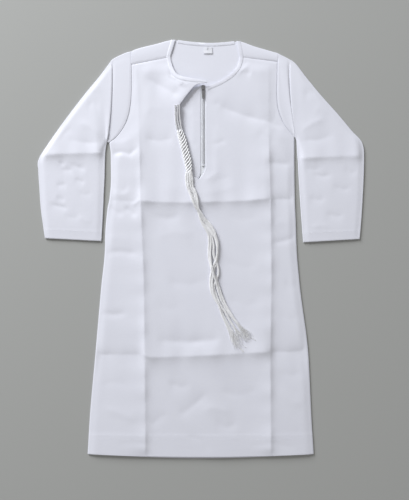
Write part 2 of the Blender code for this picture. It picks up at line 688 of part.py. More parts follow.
def make_pull(plate_top):
    """Pull tab, with its origin on the axis of the bar that turns under the crown."""
    axis = Vector((ZIP_X, PULL_HINGE_Y, plate_top + PULL_CLEARANCE + PULL_BAR / 2))
    tip_y = PULL_HINGE_Y - PULL_LENGTH
    tab = tapered(PULL_WIDE, PULL_TIP, PULL_HINGE_Y + PULL_BAR / 2, tip_y, 1.0)
    low, high = axis.z - PULL_THICKNESS / 2, axis.z + PULL_THICKNESS / 2
    half = PULL_EYE_WIDTH / 2
    eye_top = PULL_HINGE_Y - PULL_BAR / 2
    eye = [
        (ZIP_X - half, eye_top), (ZIP_X - half, eye_top - PULL_EYE_LENGTH),
        (ZIP_X + half, eye_top - PULL_EYE_LENGTH), (ZIP_X + half, eye_top),
    ]
    solids = (prism(tab, low, high), prism(eye, low - 1, high + 1))
    for bm in solids:
        bmesh.ops.translate(bm, vec=-axis, verts=bm.verts)
    metal = material("zip_pull", METAL_COLOUR, 0.35, 1.0)
    pull = write_object("zip_pull", solids[0], metal)
    cutter = write_object("zip_pull_eye", solids[1], metal)
    for obj in (pull, cutter):
        obj.location = axis * MM
    join(pull, cutter, "DIFFERENCE")


def make_tassel(targets):
    """Cords, braid and fringe in one solid: the braid is a tube whose end face grows into locks."""
    line = Line(TASSEL_LINE)
    body_length = TASSEL_CORD_LENGTH + TASSEL_BRAID_LENGTH
    braid_steps = round(TASSEL_BRAID_LENGTH / BRAID_PITCH * 2)
    stations = [TASSEL_CORD_LENGTH * i / 6 for i in range(6)]
    stations += [TASSEL_CORD_LENGTH + TASSEL_BRAID_LENGTH * i / braid_steps for i in range(braid_steps + 1)]
    fringe = [between(body_length, line.length, i / LOCK_STEPS) for i in range(LOCK_STEPS + 1)]

    def width_at(distance):
        return curve(TASSEL_WIDTH, distance)

    def rest_at(distance, reach):
        best = 0.0
        for ahead in (-1, -0.5, 0, 0.5, 1):
            place, left = line.at(distance + ahead * reach)
            half = width_at(distance) / 2 + 2
            for aside in (-1, -0.6, -0.2, 0.2, 0.6, 1):
                spot = place + left * half * aside
                best = max(best, top_of(targets, spot.x, spot.y, 1.5))
        return best + GAP

    rest = [(d, rest_at(d, 6.0)) for d in stations] + [(d, rest_at(d, 14.0)) for d in fringe[1:]]

    def body_point(distance, across, up):
        place, left = line.at(distance)
        aside = (across - 0.5) * width_at(distance) * (0.84 if up in (0.0, 1.0) else 1.0)
        height = TASSEL_HEIGHT * up
        if up == 1.0:
            if distance < TASSEL_CORD_LENGTH:
                height -= BRAID_RELIEF * (1 - abs(math.cos(3 * math.pi * across)))
            else:
                turn = (distance - TASSEL_CORD_LENGTH) / BRAID_PITCH + across
                height -= BRAID_RELIEF * (1 - abs(math.sin(math.pi * turn)))
        spot = place + left * aside
        return Vector((spot.x, spot.y, curve(rest, distance) + height))

    bm = bmesh.new()
    across_layer = bm.verts.layers.float.new("across")
    up_layer = bm.verts.layers.float.new("up")
    grid = bmesh.ops.create_grid(bm, x_segments=LOCKS_ACROSS, y_segments=LOCKS_HIGH, size=1.0)
    for vertex in grid["verts"]:
        vertex[across_layer] = (vertex.co.x + 1) / 2
        vertex[up_layer] = (vertex.co.y + 1) / 2
        vertex.co = body_point(stations[-1], vertex[across_layer], round(vertex[up_layer], 4))
    end_faces = list(bm.faces)
    edges = [edge for edge in bm.edges if edge.is_boundary]
    for distance in stations[-2::-1]:
        made = bmesh.ops.extrude_edge_only(bm, edges=edges)["geom"]
        for vertex in (part for part in made if isinstance(part, bmesh.types.BMVert)):
            vertex.co = body_point(distance, vertex[across_layer], round(vertex[up_layer], 4))
        edges = [part for part in made if isinstance(part, bmesh.types.BMEdge) and part.is_boundary]
    bmesh.ops.contextual_create(bm, geom=edges)

    locks = []
    for face in end_faces:
        centre = sum((vertex[across_layer] for vertex in face.verts)) / 4
        level = sum((vertex[up_layer] for vertex in face.verts)) / 4
        locks.append((face, centre, level))
    bmesh.ops.inset_individual(bm, faces=end_faces, thickness=0.1)
    for number, (face, across, up) in enumerate(locks):
        layer = up * LOCKS_HIGH
        centre = face.calc_center_median()
        corners = [lock_corner(line, body_length, vertex.co, centre) for vertex in face.verts]
        for step in range(1, LOCK_STEPS + 1):
            distance = fringe[step]
            if step == LOCK_STEPS:
                distance -= (fringe[-1] - fringe[-2]) * 0.8 * ((number * 5) % 7) / 7
            share = (distance - body_length) / (line.length - body_length)
            place, left = line.at(distance)
            width = width_at(distance)
            wave = 1.6 * share * math.sin(math.tau * 3.1 * share + 0.7 * layer)
            middle = place + left * ((across - 0.5) * width + wave)
            low = curve(rest, distance) + TASSEL_HEIGHT * up
            face = bmesh.ops.extrude_discrete_faces(bm, faces=[face])["faces"][0]
            for vertex, (aside, rise) in zip(face.verts, corners):
                spot = middle + left * aside * LOCK_FILL * width / LOCKS_ACROSS / 2
                vertex.co = (spot.x, spot.y, low + rise * LOCK_FILL * TASSEL_HEIGHT / LOCKS_HIGH / 2)
    bmesh.ops.recalc_face_normals(bm, faces=bm.faces)
    return write_object("tassel", bm, material("tassel", TASSEL_COLOUR, 0.6))


def lock_corner(line, distance, spot, centre):
    """Which side of its lock a corner lies on, and whether it is an upper one."""
    left = line.at(distance)[1]
    offset = spot - centre
    return (1 if offset.x * left.x + offset.y * left.y > 0 else -1, 1 if offset.z > 0 else -1)


def main():
    for obj in list(bpy.data.objects):
        bpy.data.objects.remove(obj, do_unlink=True)
    back = make_back()
    front = make_front()
    make_sleeve("sleeve_left", -1, LEFT_ARMHOLE, LEFT_SLEEVE)
    make_sleeve("sleeve_right", 1, RIGHT_ARMHOLE, RIGHT_SLEEVE)
    make_placket()
    make_tape()
    make_zip()
    panels = surface(front, back)
    left_neck = [(x, y) for y, x in FLY_EDGE if y > BINDING_TAB_END[1]]
    right_neck = [(x, y) for y, x in ZIP_EDGE if y > SLIDER_FRONT + CROWN_FRONT]
    make_binding("binding_left", [BINDING_TAB_END, *left_neck, *BINDING_LEFT_END], 1, panels, BINDING_TAPER)
    make_binding("binding_right", [*right_neck, *BINDING_RIGHT_END], -1, panels)
    back_neck = [(x, curve(SHOULDER_LINE, x)) for x in BINDING_BACK_X]
    make_binding("binding_back", back_neck, -1, surface(back))
    label = [[Vector((x, y, FRONT_LEVEL)) for x in LABEL_X] for y in LABEL_Y]
    cloth("size_label", (label,))
    make_tassel(panels)


main()
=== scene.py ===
"""A child's long white robe, laid out flat on its back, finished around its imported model.

Lengths are millimetres until a mesh is made. X runs across the body, Y from hem to neck, and Z up
from the surface that the robe lies on.
"""

import math

import bmesh
import bpy
import numpy as np
from mathutils import Matrix, Vector
from mathutils.bvhtree import BVHTree


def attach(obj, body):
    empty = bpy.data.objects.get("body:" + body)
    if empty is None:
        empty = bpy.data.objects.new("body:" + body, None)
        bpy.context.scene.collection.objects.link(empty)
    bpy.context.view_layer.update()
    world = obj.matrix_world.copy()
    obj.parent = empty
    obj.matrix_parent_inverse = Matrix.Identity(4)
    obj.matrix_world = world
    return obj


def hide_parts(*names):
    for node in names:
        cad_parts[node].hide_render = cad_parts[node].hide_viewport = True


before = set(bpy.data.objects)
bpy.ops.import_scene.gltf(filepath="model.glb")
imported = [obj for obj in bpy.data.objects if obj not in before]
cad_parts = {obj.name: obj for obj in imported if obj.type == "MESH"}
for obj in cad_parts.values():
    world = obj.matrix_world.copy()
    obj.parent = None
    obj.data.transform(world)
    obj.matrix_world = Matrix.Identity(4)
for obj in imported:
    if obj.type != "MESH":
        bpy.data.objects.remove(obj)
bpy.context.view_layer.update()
MM = 0.001


# Surface, light and camera
# The robe is seen from straight above. A soft light stands low beyond the neck and a little to the
# left, so every fold is bright on the side towards it, and pale walls fill the shadows.

VIEW_CENTRE = (6.0, -1.85)
VIEW_HEIGHT = 1156.0
VIEW_LENS = 45.0

floor_bm = bmesh.new()
bmesh.ops.create_grid(floor_bm, x_segments=2, y_segments=2, size=2.5)
bmesh.ops.translate(floor_bm, vec=(0, 0, -0.0004), verts=floor_bm.verts)
floor_mesh = bpy.data.meshes.new("floor")
floor_bm.to_mesh(floor_mesh)
floor_bm.free()
floor_paint = bpy.data.materials.new("floor_paint")
floor_paint.use_nodes = True
floor_paint.node_tree.nodes["Principled BSDF"].inputs["Base Color"].default_value = (0.40, 0.405, 0.39, 1)
floor_paint.node_tree.nodes["Principled BSDF"].inputs["Roughness"].default_value = 0.95
floor_mesh.materials.append(floor_paint)
floor = bpy.data.objects.new("floor", floor_mesh)
bpy.context.scene.collection.objects.link(floor)

world = bpy.data.worlds.new("pale_room")
world.use_nodes = True
world.node_tree.nodes["Background"].inputs["Color"].default_value = (1.0, 0.985, 0.96, 1)
world.node_tree.nodes["Background"].inputs["Strength"].default_value = 0.30
bpy.context.scene.world = world


def soft_light(name, place, power, size):
    """A square panel of light that faces the middle of the robe."""
    lamp = bpy.data.lights.new(name, "AREA")
    lamp.energy = power
    lamp.color = (0.94, 0.96, 1.0)
    lamp.size = size
    panel = bpy.data.objects.new(name, lamp)
    panel.location = place
    panel.rotation_euler = (-Vector(place)).to_track_quat("-Z", "Y").to_euler()
    bpy.context.scene.collection.objects.link(panel)


soft_light("window_light", (-2.15, 2.9, 1.46), 212.0, 1.7)
soft_light("ceiling_light", (0.2, -0.3, 3.2), 10.0, 2.4)
bpy.context.scene.view_settings.view_transform = "Standard"

camera_data = bpy.data.cameras.new("camera")
camera_data.lens = VIEW_LENS
camera_data.sensor_width = 36.0
camera = bpy.data.objects.new("camera", camera_data)
camera.location = (VIEW_CENTRE[0] * MM, VIEW_CENTRE[1] * MM, VIEW_HEIGHT * MM)
bpy.context.scene.collection.objects.link(camera)
bpy.context.scene.camera = camera


# Back panel
# One piece of smooth white cotton blend with a satin face. Its top wraps forward over the shoulders
# and is sewn to the front there, and its hem is turned up 37 mm and shows just below the front's.

CLOTH_WALL = 0.5
BACK_LEVEL = 0.5
FRONT_LEVEL = 1.8
FOLD_RADIUS = 0.65
EDGE_ROUND = 1.15
EDGE_STEPS = 6
SHARP_FROM = math.radians(50)
HEM_LINE_Y = -342.0

# Left and right edges of the body: height along Y, then X
LEFT_SIDE = (
    (-378.9, -209.7), (-314.5, -206.0), (-191.8, -195.3), (-69.0, -184.5), (0.0, -177.8), (25.3, -177.3),
    (74.2, -173.1), (93.2, -169.4), (130.1, -166.6), (175.8, -167.1), (196.1, -169.7),
)
LEFT_ARMHOLE = (
    (196.1, -169.7), (206.3, -157.7), (220.2, -146.6), (238.7, -137.4), (257.2, -132.6), (277.5, -130.0),
    (305.0, -128.9), (335.0, -129.0), (365.4, -129.0),
)
RIGHT_SIDE = (
    (-378.3, 207.5), (-314.5, 203.6), (-191.8, 197.5), (-69.0, 182.1), (0.0, 176.2), (52.5, 174.4),
    (106.7, 172.5), (159.1, 172.0), (206.3, 172.0),
)
RIGHT_ARMHOLE = (
    (206.3, 172.0), (221.1, 160.5), (235.9, 150.3), (253.5, 143.8), (268.2, 140.7), (285.0, 139.8),
    (311.0, 140.3), (336.0, 140.9), (362.0, 141.4),
)
HEM_FOOT_Y = -378.9
HEM_BOW_BACK = 7.8
HEM_BOW_REACH = 110.0
BACK_FLAT_TOP = 295.0
BACK_FOLDS_Y = (-199.0, 83.0)

# Shoulder line, the fold over which the back wraps to the front: X, then height along Y
SHOULDER_LINE = (
    (-129.0, 365.4), (-118.3, 370.0), (-85.6, 378.3), (-47.6, 386.7), (-20.8, 383.5), (10.6, 381.1),
    (38.4, 382.0), (64.8, 384.4), (99.8, 373.9), (141.4, 362.0),
)
NECK_X = (-47.6, 64.8)
# Shoulder seams on the front: X and Y at the armhole, X and Y at the neck
SEAM_LEFT = (-129.0, 340.4, -56.7, 355.2)
SEAM_RIGHT = (141.1, 345.9, 70.9, 355.2)
SEAM_GAP = 0.15

# Creases that the back keeps from its packing: points along X and Y, rise, and width of the slope
BACK_CREASES = (
    (((-112, -380), (-108, -57), (-112, 81), (-116, 257), (-119, 352)), 0.45, 5.0),
    (((128, -380), (127, -57), (127, 81), (124, 257), (123, 350)), 0.45, 5.0),
    (((-190, -196), (-91, -203), (25, -199), (125, -193), (198, -195)), 0.45, 6.0),
    (((-170, 86), (-76, 80), (25, 81), (124, 89), (172, 93)), 0.45, 6.0),
    (((-60, -60), (-10, -75), (70, -68)), 0.25, 10.0),
    (((-150, 190), (-100, 205), (-60, 200)), 0.25, 8.0),
    (((60, 230), (110, 215), (150, 222)), 0.25, 8.0),
    (((-70, -290), (-20, -283), (60, -296)), 0.25, 12.0),
)


class Signal:
    """A shader value that can be used in ordinary sums."""

    def __init__(self, finish, socket):
        self.finish = finish
        self.socket = socket

    def sum(self, operation, first, second):
        return self.finish.node("ShaderNodeMath", {"operation": operation}, {0: first, 1: second})

    def __add__(self, other):
        return self.sum("ADD", self, other)

    def __radd__(self, other):
        return self.sum("ADD", other, self)

    def __mul__(self, other):
        return self.sum("MULTIPLY", self, other)

    def __rmul__(self, other):
        return self.sum("MULTIPLY", other, self)


class Finish:
    """A material, and the nodes that give it its look."""

    def __init__(self, name, colour, roughness, **fixed):
        self.material = bpy.data.materials.new(name)
        self.material.use_nodes = True
        self.nodes = self.material.node_tree.nodes
        self.links = self.material.node_tree.links
        self.shader = self.nodes["Principled BSDF"]
        self.place = self.node("ShaderNodeTexCoord", output="Object")
        self.set(base_color=(*colour, 1), roughness=roughness, **fixed)

    def node(self, kind, settings=None, inputs=None, output=0):
        made = self.nodes.new(kind)
        for name, value in (settings or {}).items():
            setattr(made, name, value)
        for name, value in (inputs or {}).items():
            self.join(made.inputs[name], value)
        return Signal(self, made.outputs[output])

    def join(self, socket, value):
        if isinstance(value, Signal):
            self.links.new(value.socket, socket)
        else:
            socket.default_value = value

    def set(self, **values):
        for name, value in values.items():
            self.join(self.shader.inputs[name.replace("_", " ").title()], value)

    def noise(self, scale, detail=2.0, at=None):
        return self.node("ShaderNodeTexNoise", None, {
            "Vector": at or self.place, "Scale": scale, "Detail": detail, "Roughness": 0.55,
        })

    def bands(self, direction, scale):
        settings = {"wave_type": "BANDS", "bands_direction": direction}
        return self.node("ShaderNodeTexWave", settings, {
            "Vector": self.place, "Scale": scale, "Distortion": 0.6, "Detail": 1.0, "Detail Scale": 2.0,
        })

    def stretched(self, x, y, z):
        return self.node("ShaderNodeMapping", None, {"Vector": self.place, "Scale": (x, y, z)})

    def mix(self, share, first, second):
        return self.node("ShaderNodeMix", {"data_type": "RGBA"}, {
            0: share, 6: (*first, 1), 7: (*second, 1),
        }, output=2)

    def bump(self, height, depth, below=None):
        inputs = {"Height": height, "Distance": depth, "Strength": 1.0}
        if below:
            inputs["Normal"] = below
        return self.node("ShaderNodeBump", None, inputs)


def woven(name, light, shade, roughness, thread, sheen):
    """Fine twill: threads both ways, a slight diagonal, and slow changes in tone."""
    finish = Finish(name, light, roughness, sheen_weight=sheen, sheen_roughness=0.4)
    across = finish.bands("X", 1 / thread / 6.28)
    along = finish.bands("Y", 1 / thread / 6.28)
    diagonal = finish.bands("DIAGONAL", 0.5 / thread / 6.28)
    threads = across * 0.4 + along * 0.35 + diagonal * 0.25
    slubs = finish.noise(900.0, 3.0, finish.stretched(1.0, 0.16, 1.0))
    tone = finish.noise(14.0, 3.0) * 0.6 + slubs * 0.25 + threads * 0.15
    finish.set(base_color=finish.mix(tone, shade, light))
    finish.set(roughness=roughness - 0.06 + finish.noise(60.0, 2.0) * 0.12)
    rumple = finish.bump(finish.noise(75.0, 3.0), 0.00007)
    finish.set(normal=finish.bump(threads * 0.8 + slubs * 0.2, 0.00006, rumple))
    return finish.material


white_cloth = woven("white_cloth", (0.81, 0.82, 0.89), (0.75, 0.76, 0.84), 0.62, 0.00045, 0.08)


def smooth_step(low, high, value):
    share = np.clip((value - low) / (high - low), 0.0, 1.0)
    return share * share * (3 - 2 * share)


def curve(table, at, column=1):
    """Values on a smooth line through a table's rows, which never overshoots them."""
    rows = np.array([(row[0], row[column]) for row in table], float)
    at = np.clip(at, rows[0, 0], rows[-1, 0])
    spans = np.diff(rows[:, 0])
    slopes = np.diff(rows[:, 1]) / spans
    before, after = slopes[:-1], slopes[1:]
    same_way = before * after > 0
    inner = np.where(same_way, 2 * before * after / np.where(same_way, before + after, 1.0), 0.0)
    tangents = np.concatenate((slopes[:1], inner, slopes[-1:]))
    i = np.clip(np.searchsorted(rows[:, 0], at, side="right") - 1, 0, len(slopes) - 1)
    t = (at - rows[i, 0]) / spans[i]
    return (
        rows[i, 1] * (1 + 2 * t) * (1 - t) ** 2
        + tangents[i] * spans[i] * t * (1 - t) ** 2
        + rows[i + 1, 1] * t * t * (3 - 2 * t)
        + tangents[i + 1] * spans[i] * t * t * (t - 1)
    )


def body_edge(side, y):
    """X of the body's left or right edge: its side seam, and above the underarm its armhole."""
    seam, armhole = (LEFT_SIDE, LEFT_ARMHOLE) if side < 0 else (RIGHT_SIDE, RIGHT_ARMHOLE)
    return np.where(np.asarray(y) > armhole[0][0], curve(armhole, y), curve(seam, y))


def crease(x, y, points, rise, left_width, right_width=None, crest=1.6):
    """A pressed fold line: a rounded crest whose two slopes fade, uneven along its length."""
    spots = np.array(points, float)
    steps = np.diff(spots, axis=0)
    lengths = np.hypot(steps[:, 0], steps[:, 1])
    chord = spots[-1] - spots[0]
    total = np.hypot(*chord)
    reached = ((x - spots[0, 0]) * chord[0] + (y - spots[0, 1]) * chord[1]) / total
    nearest = np.full(x.shape, 1e9)
    width = np.full(x.shape, float(left_width))
    for i, (step, length) in enumerate(zip(steps, lengths)):
        along = ((x - spots[i, 0]) * step[0] + (y - spots[i, 1]) * step[1]) / length ** 2
        along = np.clip(along, 0.0, 1.0)
        away = np.hypot(x - spots[i, 0] - along * step[0], y - spots[i, 1] - along * step[1])
        closer = away < nearest
        on_right = step[0] * (y - spots[i, 1]) < step[1] * (x - spots[i, 0])
        width = np.where(closer, np.where(on_right, right_width or left_width, left_width), width)
        nearest = np.where(closer, away, nearest)
    fade = min(20.0, total / 3)
    ends = smooth_step(0.0, fade, reached) * smooth_step(0.0, fade, total - reached)
    uneven = 1 + 0.20 * np.sin(reached / 17.0 + rise * 9) + 0.12 * np.sin(reached / 6.3 + left_width)
    slope = np.exp(-(np.sqrt(nearest ** 2 + crest ** 2) - crest) / width)
    return rise * ends * uneven * slope


def creases(x, y, table):
    return sum(crease(x, y, *row) for row in table)


def drift(x, y, seed=0.0):
    """Slow, uneven waves of cloth that isn't pulled flat, from about -1 to 1."""
    return (
        0.40 * np.sin(x / 23.0 + 1.3 * np.sin(y / 61.0 + seed) + seed)
        + 0.35 * np.sin(y / 31.0 + 1.1 * np.sin(x / 47.0 - seed) + 2 * seed)
        + 0.25 * np.sin((x + 0.6 * y) / 15.0 + 1.7 * np.sin(y / 37.0))
    )


def spaced(start, end, coarse, fine, spots, reach):
    """Places from start to end, set closer together near the given spots."""
    at = np.linspace(start, end, 4001)
    near = np.exp(-(np.subtract.outer(at, spots) / reach) ** 2).max(axis=1)
    count = np.concatenate(([0.0], np.cumsum(np.diff(at) / (coarse + (fine - coarse) * near[1:]))))
    return np.interp(np.linspace(0.0, count[-1], round(count[-1]) + 1), count, at)


def sewn_bmesh(patches):
    """One sheet of patches of points in millimetres, joined where they meet."""
    whole = bmesh.new()
    for points in patches:
        rows, columns = points.shape[:2]
        grid = bmesh.new()
        bmesh.ops.create_grid(grid, x_segments=columns - 1, y_segments=rows - 1, size=1.0)
        cut = bpy.data.meshes.new("cut")
        grid.to_mesh(cut)
        grid.free()
        flat = np.empty(len(cut.vertices) * 3)
        cut.vertices.foreach_get("co", flat)
        flat = flat.reshape(-1, 3)
        column = np.rint((flat[:, 0] + 1) / 2 * (columns - 1)).astype(int)
        row = np.rint((flat[:, 1] + 1) / 2 * (rows - 1)).astype(int)
        cut.vertices.foreach_set("co", (points[row, column] * MM).ravel())
        whole.from_mesh(cut)
        bpy.data.meshes.remove(cut)
    bmesh.ops.remove_doubles(whole, verts=whole.verts, dist=0.00001)
    return whole


def finished(name, bm, material, wall=None):
    """An object of a bmesh in metres. A single layer of cloth faces up and is given its wall."""
    if wall:
        bmesh.ops.recalc_face_normals(bm, faces=bm.faces)
        highest = max(bm.faces, key=lambda face: face.calc_center_median().z)
        if highest.normal.z <= 0:
            bmesh.ops.reverse_faces(bm, faces=bm.faces)
    mesh = bpy.data.meshes.new(name)
    bm.to_mesh(mesh)
    bm.free()
    piece = bpy.data.objects.new(name, mesh)
    bpy.context.scene.collection.objects.link(piece)
    if wall:
        thicken = piece.modifiers.new("wall", "SOLIDIFY")
        thicken.thickness = wall * MM
        thicken.offset = 0.0
        graph = bpy.context.evaluated_depsgraph_get()
        mesh = bpy.data.meshes.new_from_object(piece.evaluated_get(graph))
        piece.modifiers.clear()
        piece.data = mesh
        places = np.empty(len(mesh.vertices) * 3)
        mesh.vertices.foreach_get("co", places)
        places[2::3] = np.maximum(places[2::3], 0.0)
        mesh.vertices.foreach_set("co", places)
    mesh.shade_smooth()
    mesh.set_sharp_from_angle(angle=SHARP_FROM)
    mesh.materials.clear()
    mesh.materials.append(material)
    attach(piece, "garment")
    return piece


def stacked(x, y, z):
    return np.stack(np.broadcast_arrays(x, y, z), axis=-1).astype(float)


def edge_dip(away, depth=0.5, reach=2.2):
    """How far cloth dips beside a seam or rolls at its own edge, by the distance from it."""
    return depth * (1 - smooth_step(0.0, reach, away)) ** 2


shoulder_left, shoulder_right = SHOULDER_LINE[0][0], SHOULDER_LINE[-1][0]
neck_shares = [(x - shoulder_left) / (shoulder_right - shoulder_left) for x in NECK_X]
flap_left_shares = np.linspace(0.0, neck_shares[0], 27)
flap_right_shares = np.linspace(neck_shares[1], 1.0, 27)
back_shares = np.concatenate((
    flap_left_shares, np.linspace(*neck_shares, 34)[1:-1], flap_right_shares,
))


def back_top(share, up):
    """Places above the back's flat rows, where its rows bend to follow the shoulder line."""
    low_x = body_edge(-1, BACK_FLAT_TOP) * (1 - share) + body_edge(1, BACK_FLAT_TOP) * share
    top_x = shoulder_left * (1 - share) + shoulder_right * share
    top_y = curve(SHOULDER_LINE, top_x) - EDGE_ROUND
    return low_x * (1 - up) + top_x * up, BACK_FLAT_TOP * (1 - up) + top_y * up


def shoulder_flap(shares, seam):
    """The back's cloth from the shoulder fold down to the shoulder seam on the front."""
    armhole_x, armhole_y, neck_x, neck_y = seam
    x, y = back_top(shares, 1.0)
    angle = np.linspace(-math.pi / 2, math.pi / 2, EDGE_STEPS + 1)[:, None]
    turn_y = y + FOLD_RADIUS * np.cos(angle)
    turn_z = BACK_LEVEL + FOLD_RADIUS * (np.sin(angle) + 1)
    turn = stacked(x, turn_y, turn_z)
    share = (x - x[0]) / (x[-1] - x[0])
    share = share if armhole_x < neck_x else 1 - share
    end_x = armhole_x + (neck_x - armhole_x) * share
    end_y = armhole_y + (neck_y - armhole_y) * share + SEAM_GAP
    down = np.linspace(0.0, 1.0, 12)[1:, None]
    flap_x, flap_y = x + (end_x - x) * down, y + (end_y - y) * down
    length = np.hypot(end_x - x, end_y - y)
    soft = 0.35 * np.sin(math.pi * down) * (1 + 0.4 * drift(flap_x, flap_y, 1.0))
    flap_z = FRONT_LEVEL + soft - edge_dip((1 - down) * length, 0.45) + 0 * x
    return np.concatenate((turn, stacked(flap_x, flap_y, flap_z)))


back_y = np.concatenate((
    np.linspace(HEM_FOOT_Y, HEM_LINE_Y, 11),
    spaced(HEM_LINE_Y, BACK_FLAT_TOP, 5.2, 2.0, BACK_FOLDS_Y, 14.0)[1:],
))
row_y = back_y[:, None]
share = back_shares[None, :]
left_x, right_x = body_edge(-1, row_y), body_edge(1, row_y)
back_x = left_x * (1 - share) + right_x * share
bow = HEM_BOW_BACK * (1 - smooth_step(0.0, HEM_BOW_REACH, row_y - HEM_FOOT_Y))
back_rows_y = row_y - bow * np.sin(share * math.pi)
upper_x, upper_y = back_top(share, np.linspace(0.0, 1.0, 20)[1:, None])
back_x = np.concatenate((back_x, upper_x))
back_rows_y = np.concatenate((back_rows_y, upper_y))
near_edge = np.minimum(back_x - body_edge(-1, back_rows_y), body_edge(1, back_rows_y) - back_x)
calm = smooth_step(2.0, 30.0, near_edge) * (1 - smooth_step(320.0, 350.0, back_rows_y))
back_rise = creases(back_x, back_rows_y, BACK_CREASES) + 0.14 * (1 + drift(back_x, back_rows_y, 2.0))
back_z = BACK_LEVEL + calm * np.clip(back_rise, 0.0, 0.7)
back_panel = finished(
    "back_cloth",
    sewn_bmesh((
        stacked(back_x, back_rows_y, back_z),
        shoulder_flap(flap_left_shares, SEAM_LEFT),
        shoulder_flap(flap_right_shares, SEAM_RIGHT),
    )),
    white_cloth, CLOTH_WALL,
)
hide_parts("back_panel")


# Front panel
# One piece of the same cloth with a slit for the zip. Left of the slit it is the fly cover, whose
# free edge stands up at the neck as a narrow tab, and the lines it was packed on cross it.

# Fly edge, from the foot of the slit up round the tab and on along the neck: height, then X
FLY_EDGE = (
    (128.0, -5.0), (136.0, -15.3), (155.4, -22.1), (175.8, -27.3), (196.1, -32.8), (212.8, -37.5),
    (229.4, -40.8), (246.1, -42.5), (260.9, -41.2), (275.5, -32.0), (290.5, -20.4), (298.4, -13.2),
    (302.4, -7.6), (304.2, -1.6), (304.9, 5.0), (305.4, 10.4), (306.6, 12.6), (308.6, 8.4), (311.0, 0.0),
    (313.2, -12.0), (315.2, -24.8), (317.8, -37.0), (323.4, -45.8), (333.9, -51.7), (345.0, -54.9),
    (355.2, -56.7),
)
# Right front, from the foot of the slit up beside the zip and on along the neck: height, then X
ZIP_EDGE = (
    (128.0, -5.0), (134.0, 0.2), (142.0, 5.0), (153.6, 7.5), (196.1, 7.5), (286.8, 7.5), (296.4, 8.0),
    (300.8, 14.3), (305.2, 24.5), (310.1, 35.2), (317.6, 47.6), (326.5, 58.7), (337.6, 66.7),
    (348.7, 70.4), (355.2, 70.9),
)
SLIT_FOOT_Y = 128.0
CENTRE_X = -5.0
# Rows above the foot of the slit: height at the armhole, height at the opening or the neck
LEFT_ROWS = (
    (128.0, 128.0), (136.0, 136.0), (145.0, 145.0), (155.4, 155.4), (175.8, 175.8), (196.1, 196.1),
    (206.3, 206.3), (220.2, 221.0), (238.7, 238.7), (248.0, 250.0), (257.2, 260.9), (267.0, 272.9),
    (278.5, 290.5), (286.5, 298.4), (292.0, 302.4), (295.5, 304.2), (298.5, 304.9), (301.0, 305.4),
    (303.5, 306.6), (306.5, 308.6), (310.0, 311.0), (313.5, 313.2), (317.0, 316.4), (321.5, 323.4),
    (328.0, 333.9), (334.5, 345.0), (340.2, 354.9),
)
RIGHT_ROWS = (
    (128.0, 128.0), (134.0, 134.0), (142.0, 142.0), (153.6, 153.6), (175.8, 175.8), (196.1, 196.1),
    (206.3, 206.3), (213.5, 213.5), (221.1, 221.1), (235.9, 240.0), (253.5, 264.0), (268.2, 286.8),
    (283.1, 296.4), (292.0, 300.8), (300.0, 305.2), (308.0, 310.1), (317.0, 317.6), (325.0, 326.5),
    (332.5, 337.6), (339.5, 348.7), (345.6, 354.9),
)
HEM_BOW_FRONT = 4.4
ZIP_LEVEL = 3.1
FLY_LEVEL = 4.4
# Where the front is raised over pieces below it: X from and to, Y from and to, fade along X and Y
OVER_FOOT = (-45.0, 6.0, 118.0, 136.0, 40.0, 40.0)
OVER_PLACKET = (-45.0, 30.0, 136.0, 300.0, 40.0, 22.0)
OVER_TAPE = (-12.0, 17.0, 134.0, 306.0, 14.0, 12.0)
FLY_LIFT = 4.2
FLY_LIFT_X = (-84.0, -16.0)
FLY_LIFT_Y = (236.0, 284.0)
FLY_LIFT_FADE_Y = (312.0, 352.0)
SLACK_RISE = 1.5
SLACK_EDGE = 15.0
SLACK_EDGE_TOP = 22.0
FRONT_LOWEST = -0.4
FRONT_FOLDS_Y = (-197.0, -190.0, 87.0, 93.0)
ROW_SPACING = 2.6

# Packing folds that run up the body: height along Y, left fold, right fold
UPRIGHT_FOLDS = (
    (-384.0, -103.0, 128.3), (-200.0, -104.4, 127.0), (-57.0, -106.0, 129.0), (81.0, -111.8, 127.7),
    (188.0, -114.2, 124.2), (257.0, -116.1, 123.9), (352.0, -119.8, 123.5),
)
UPRIGHT_RISE = 2.1
UPRIGHT_WIDTHS = (20.0, 5.5)
# Packing folds across it, from left to right: points along X and Y, rise, and the widths of the
# slopes above and below the line
CROSS_FOLDS = (
    (((-122, 91.5), (-111.5, 89.4), (-76.3, 86.8), (-30.1, 86.0), (25.4, 87.6), (80.9, 89.2), (134, 94.5)),
     2.9, 42.0, 10.0),
    (((-118, -192), (-107.8, -193.5), (-91.1, -199.0), (-30.1, -197.2), (25.4, -194.4), (80.9, -191.6),
      (134, -188)), 2.8, 42.0, 13.0),
    (((-178, 89.8), (-140, 88.5), (-106, 86.5)), -1.1, 8.0, 26.0),
    (((118, 91), (150, 92.0), (178, 92.0)), -1.7, 9.0, 30.0),
    (((-206, -195), (-150, -195.5), (-100, -195)), -1.3, 9.0, 30.0),
    (((120, -190), (160, -190.2), (206, -190.2)), -1.7, 11.0, 30.0),
)
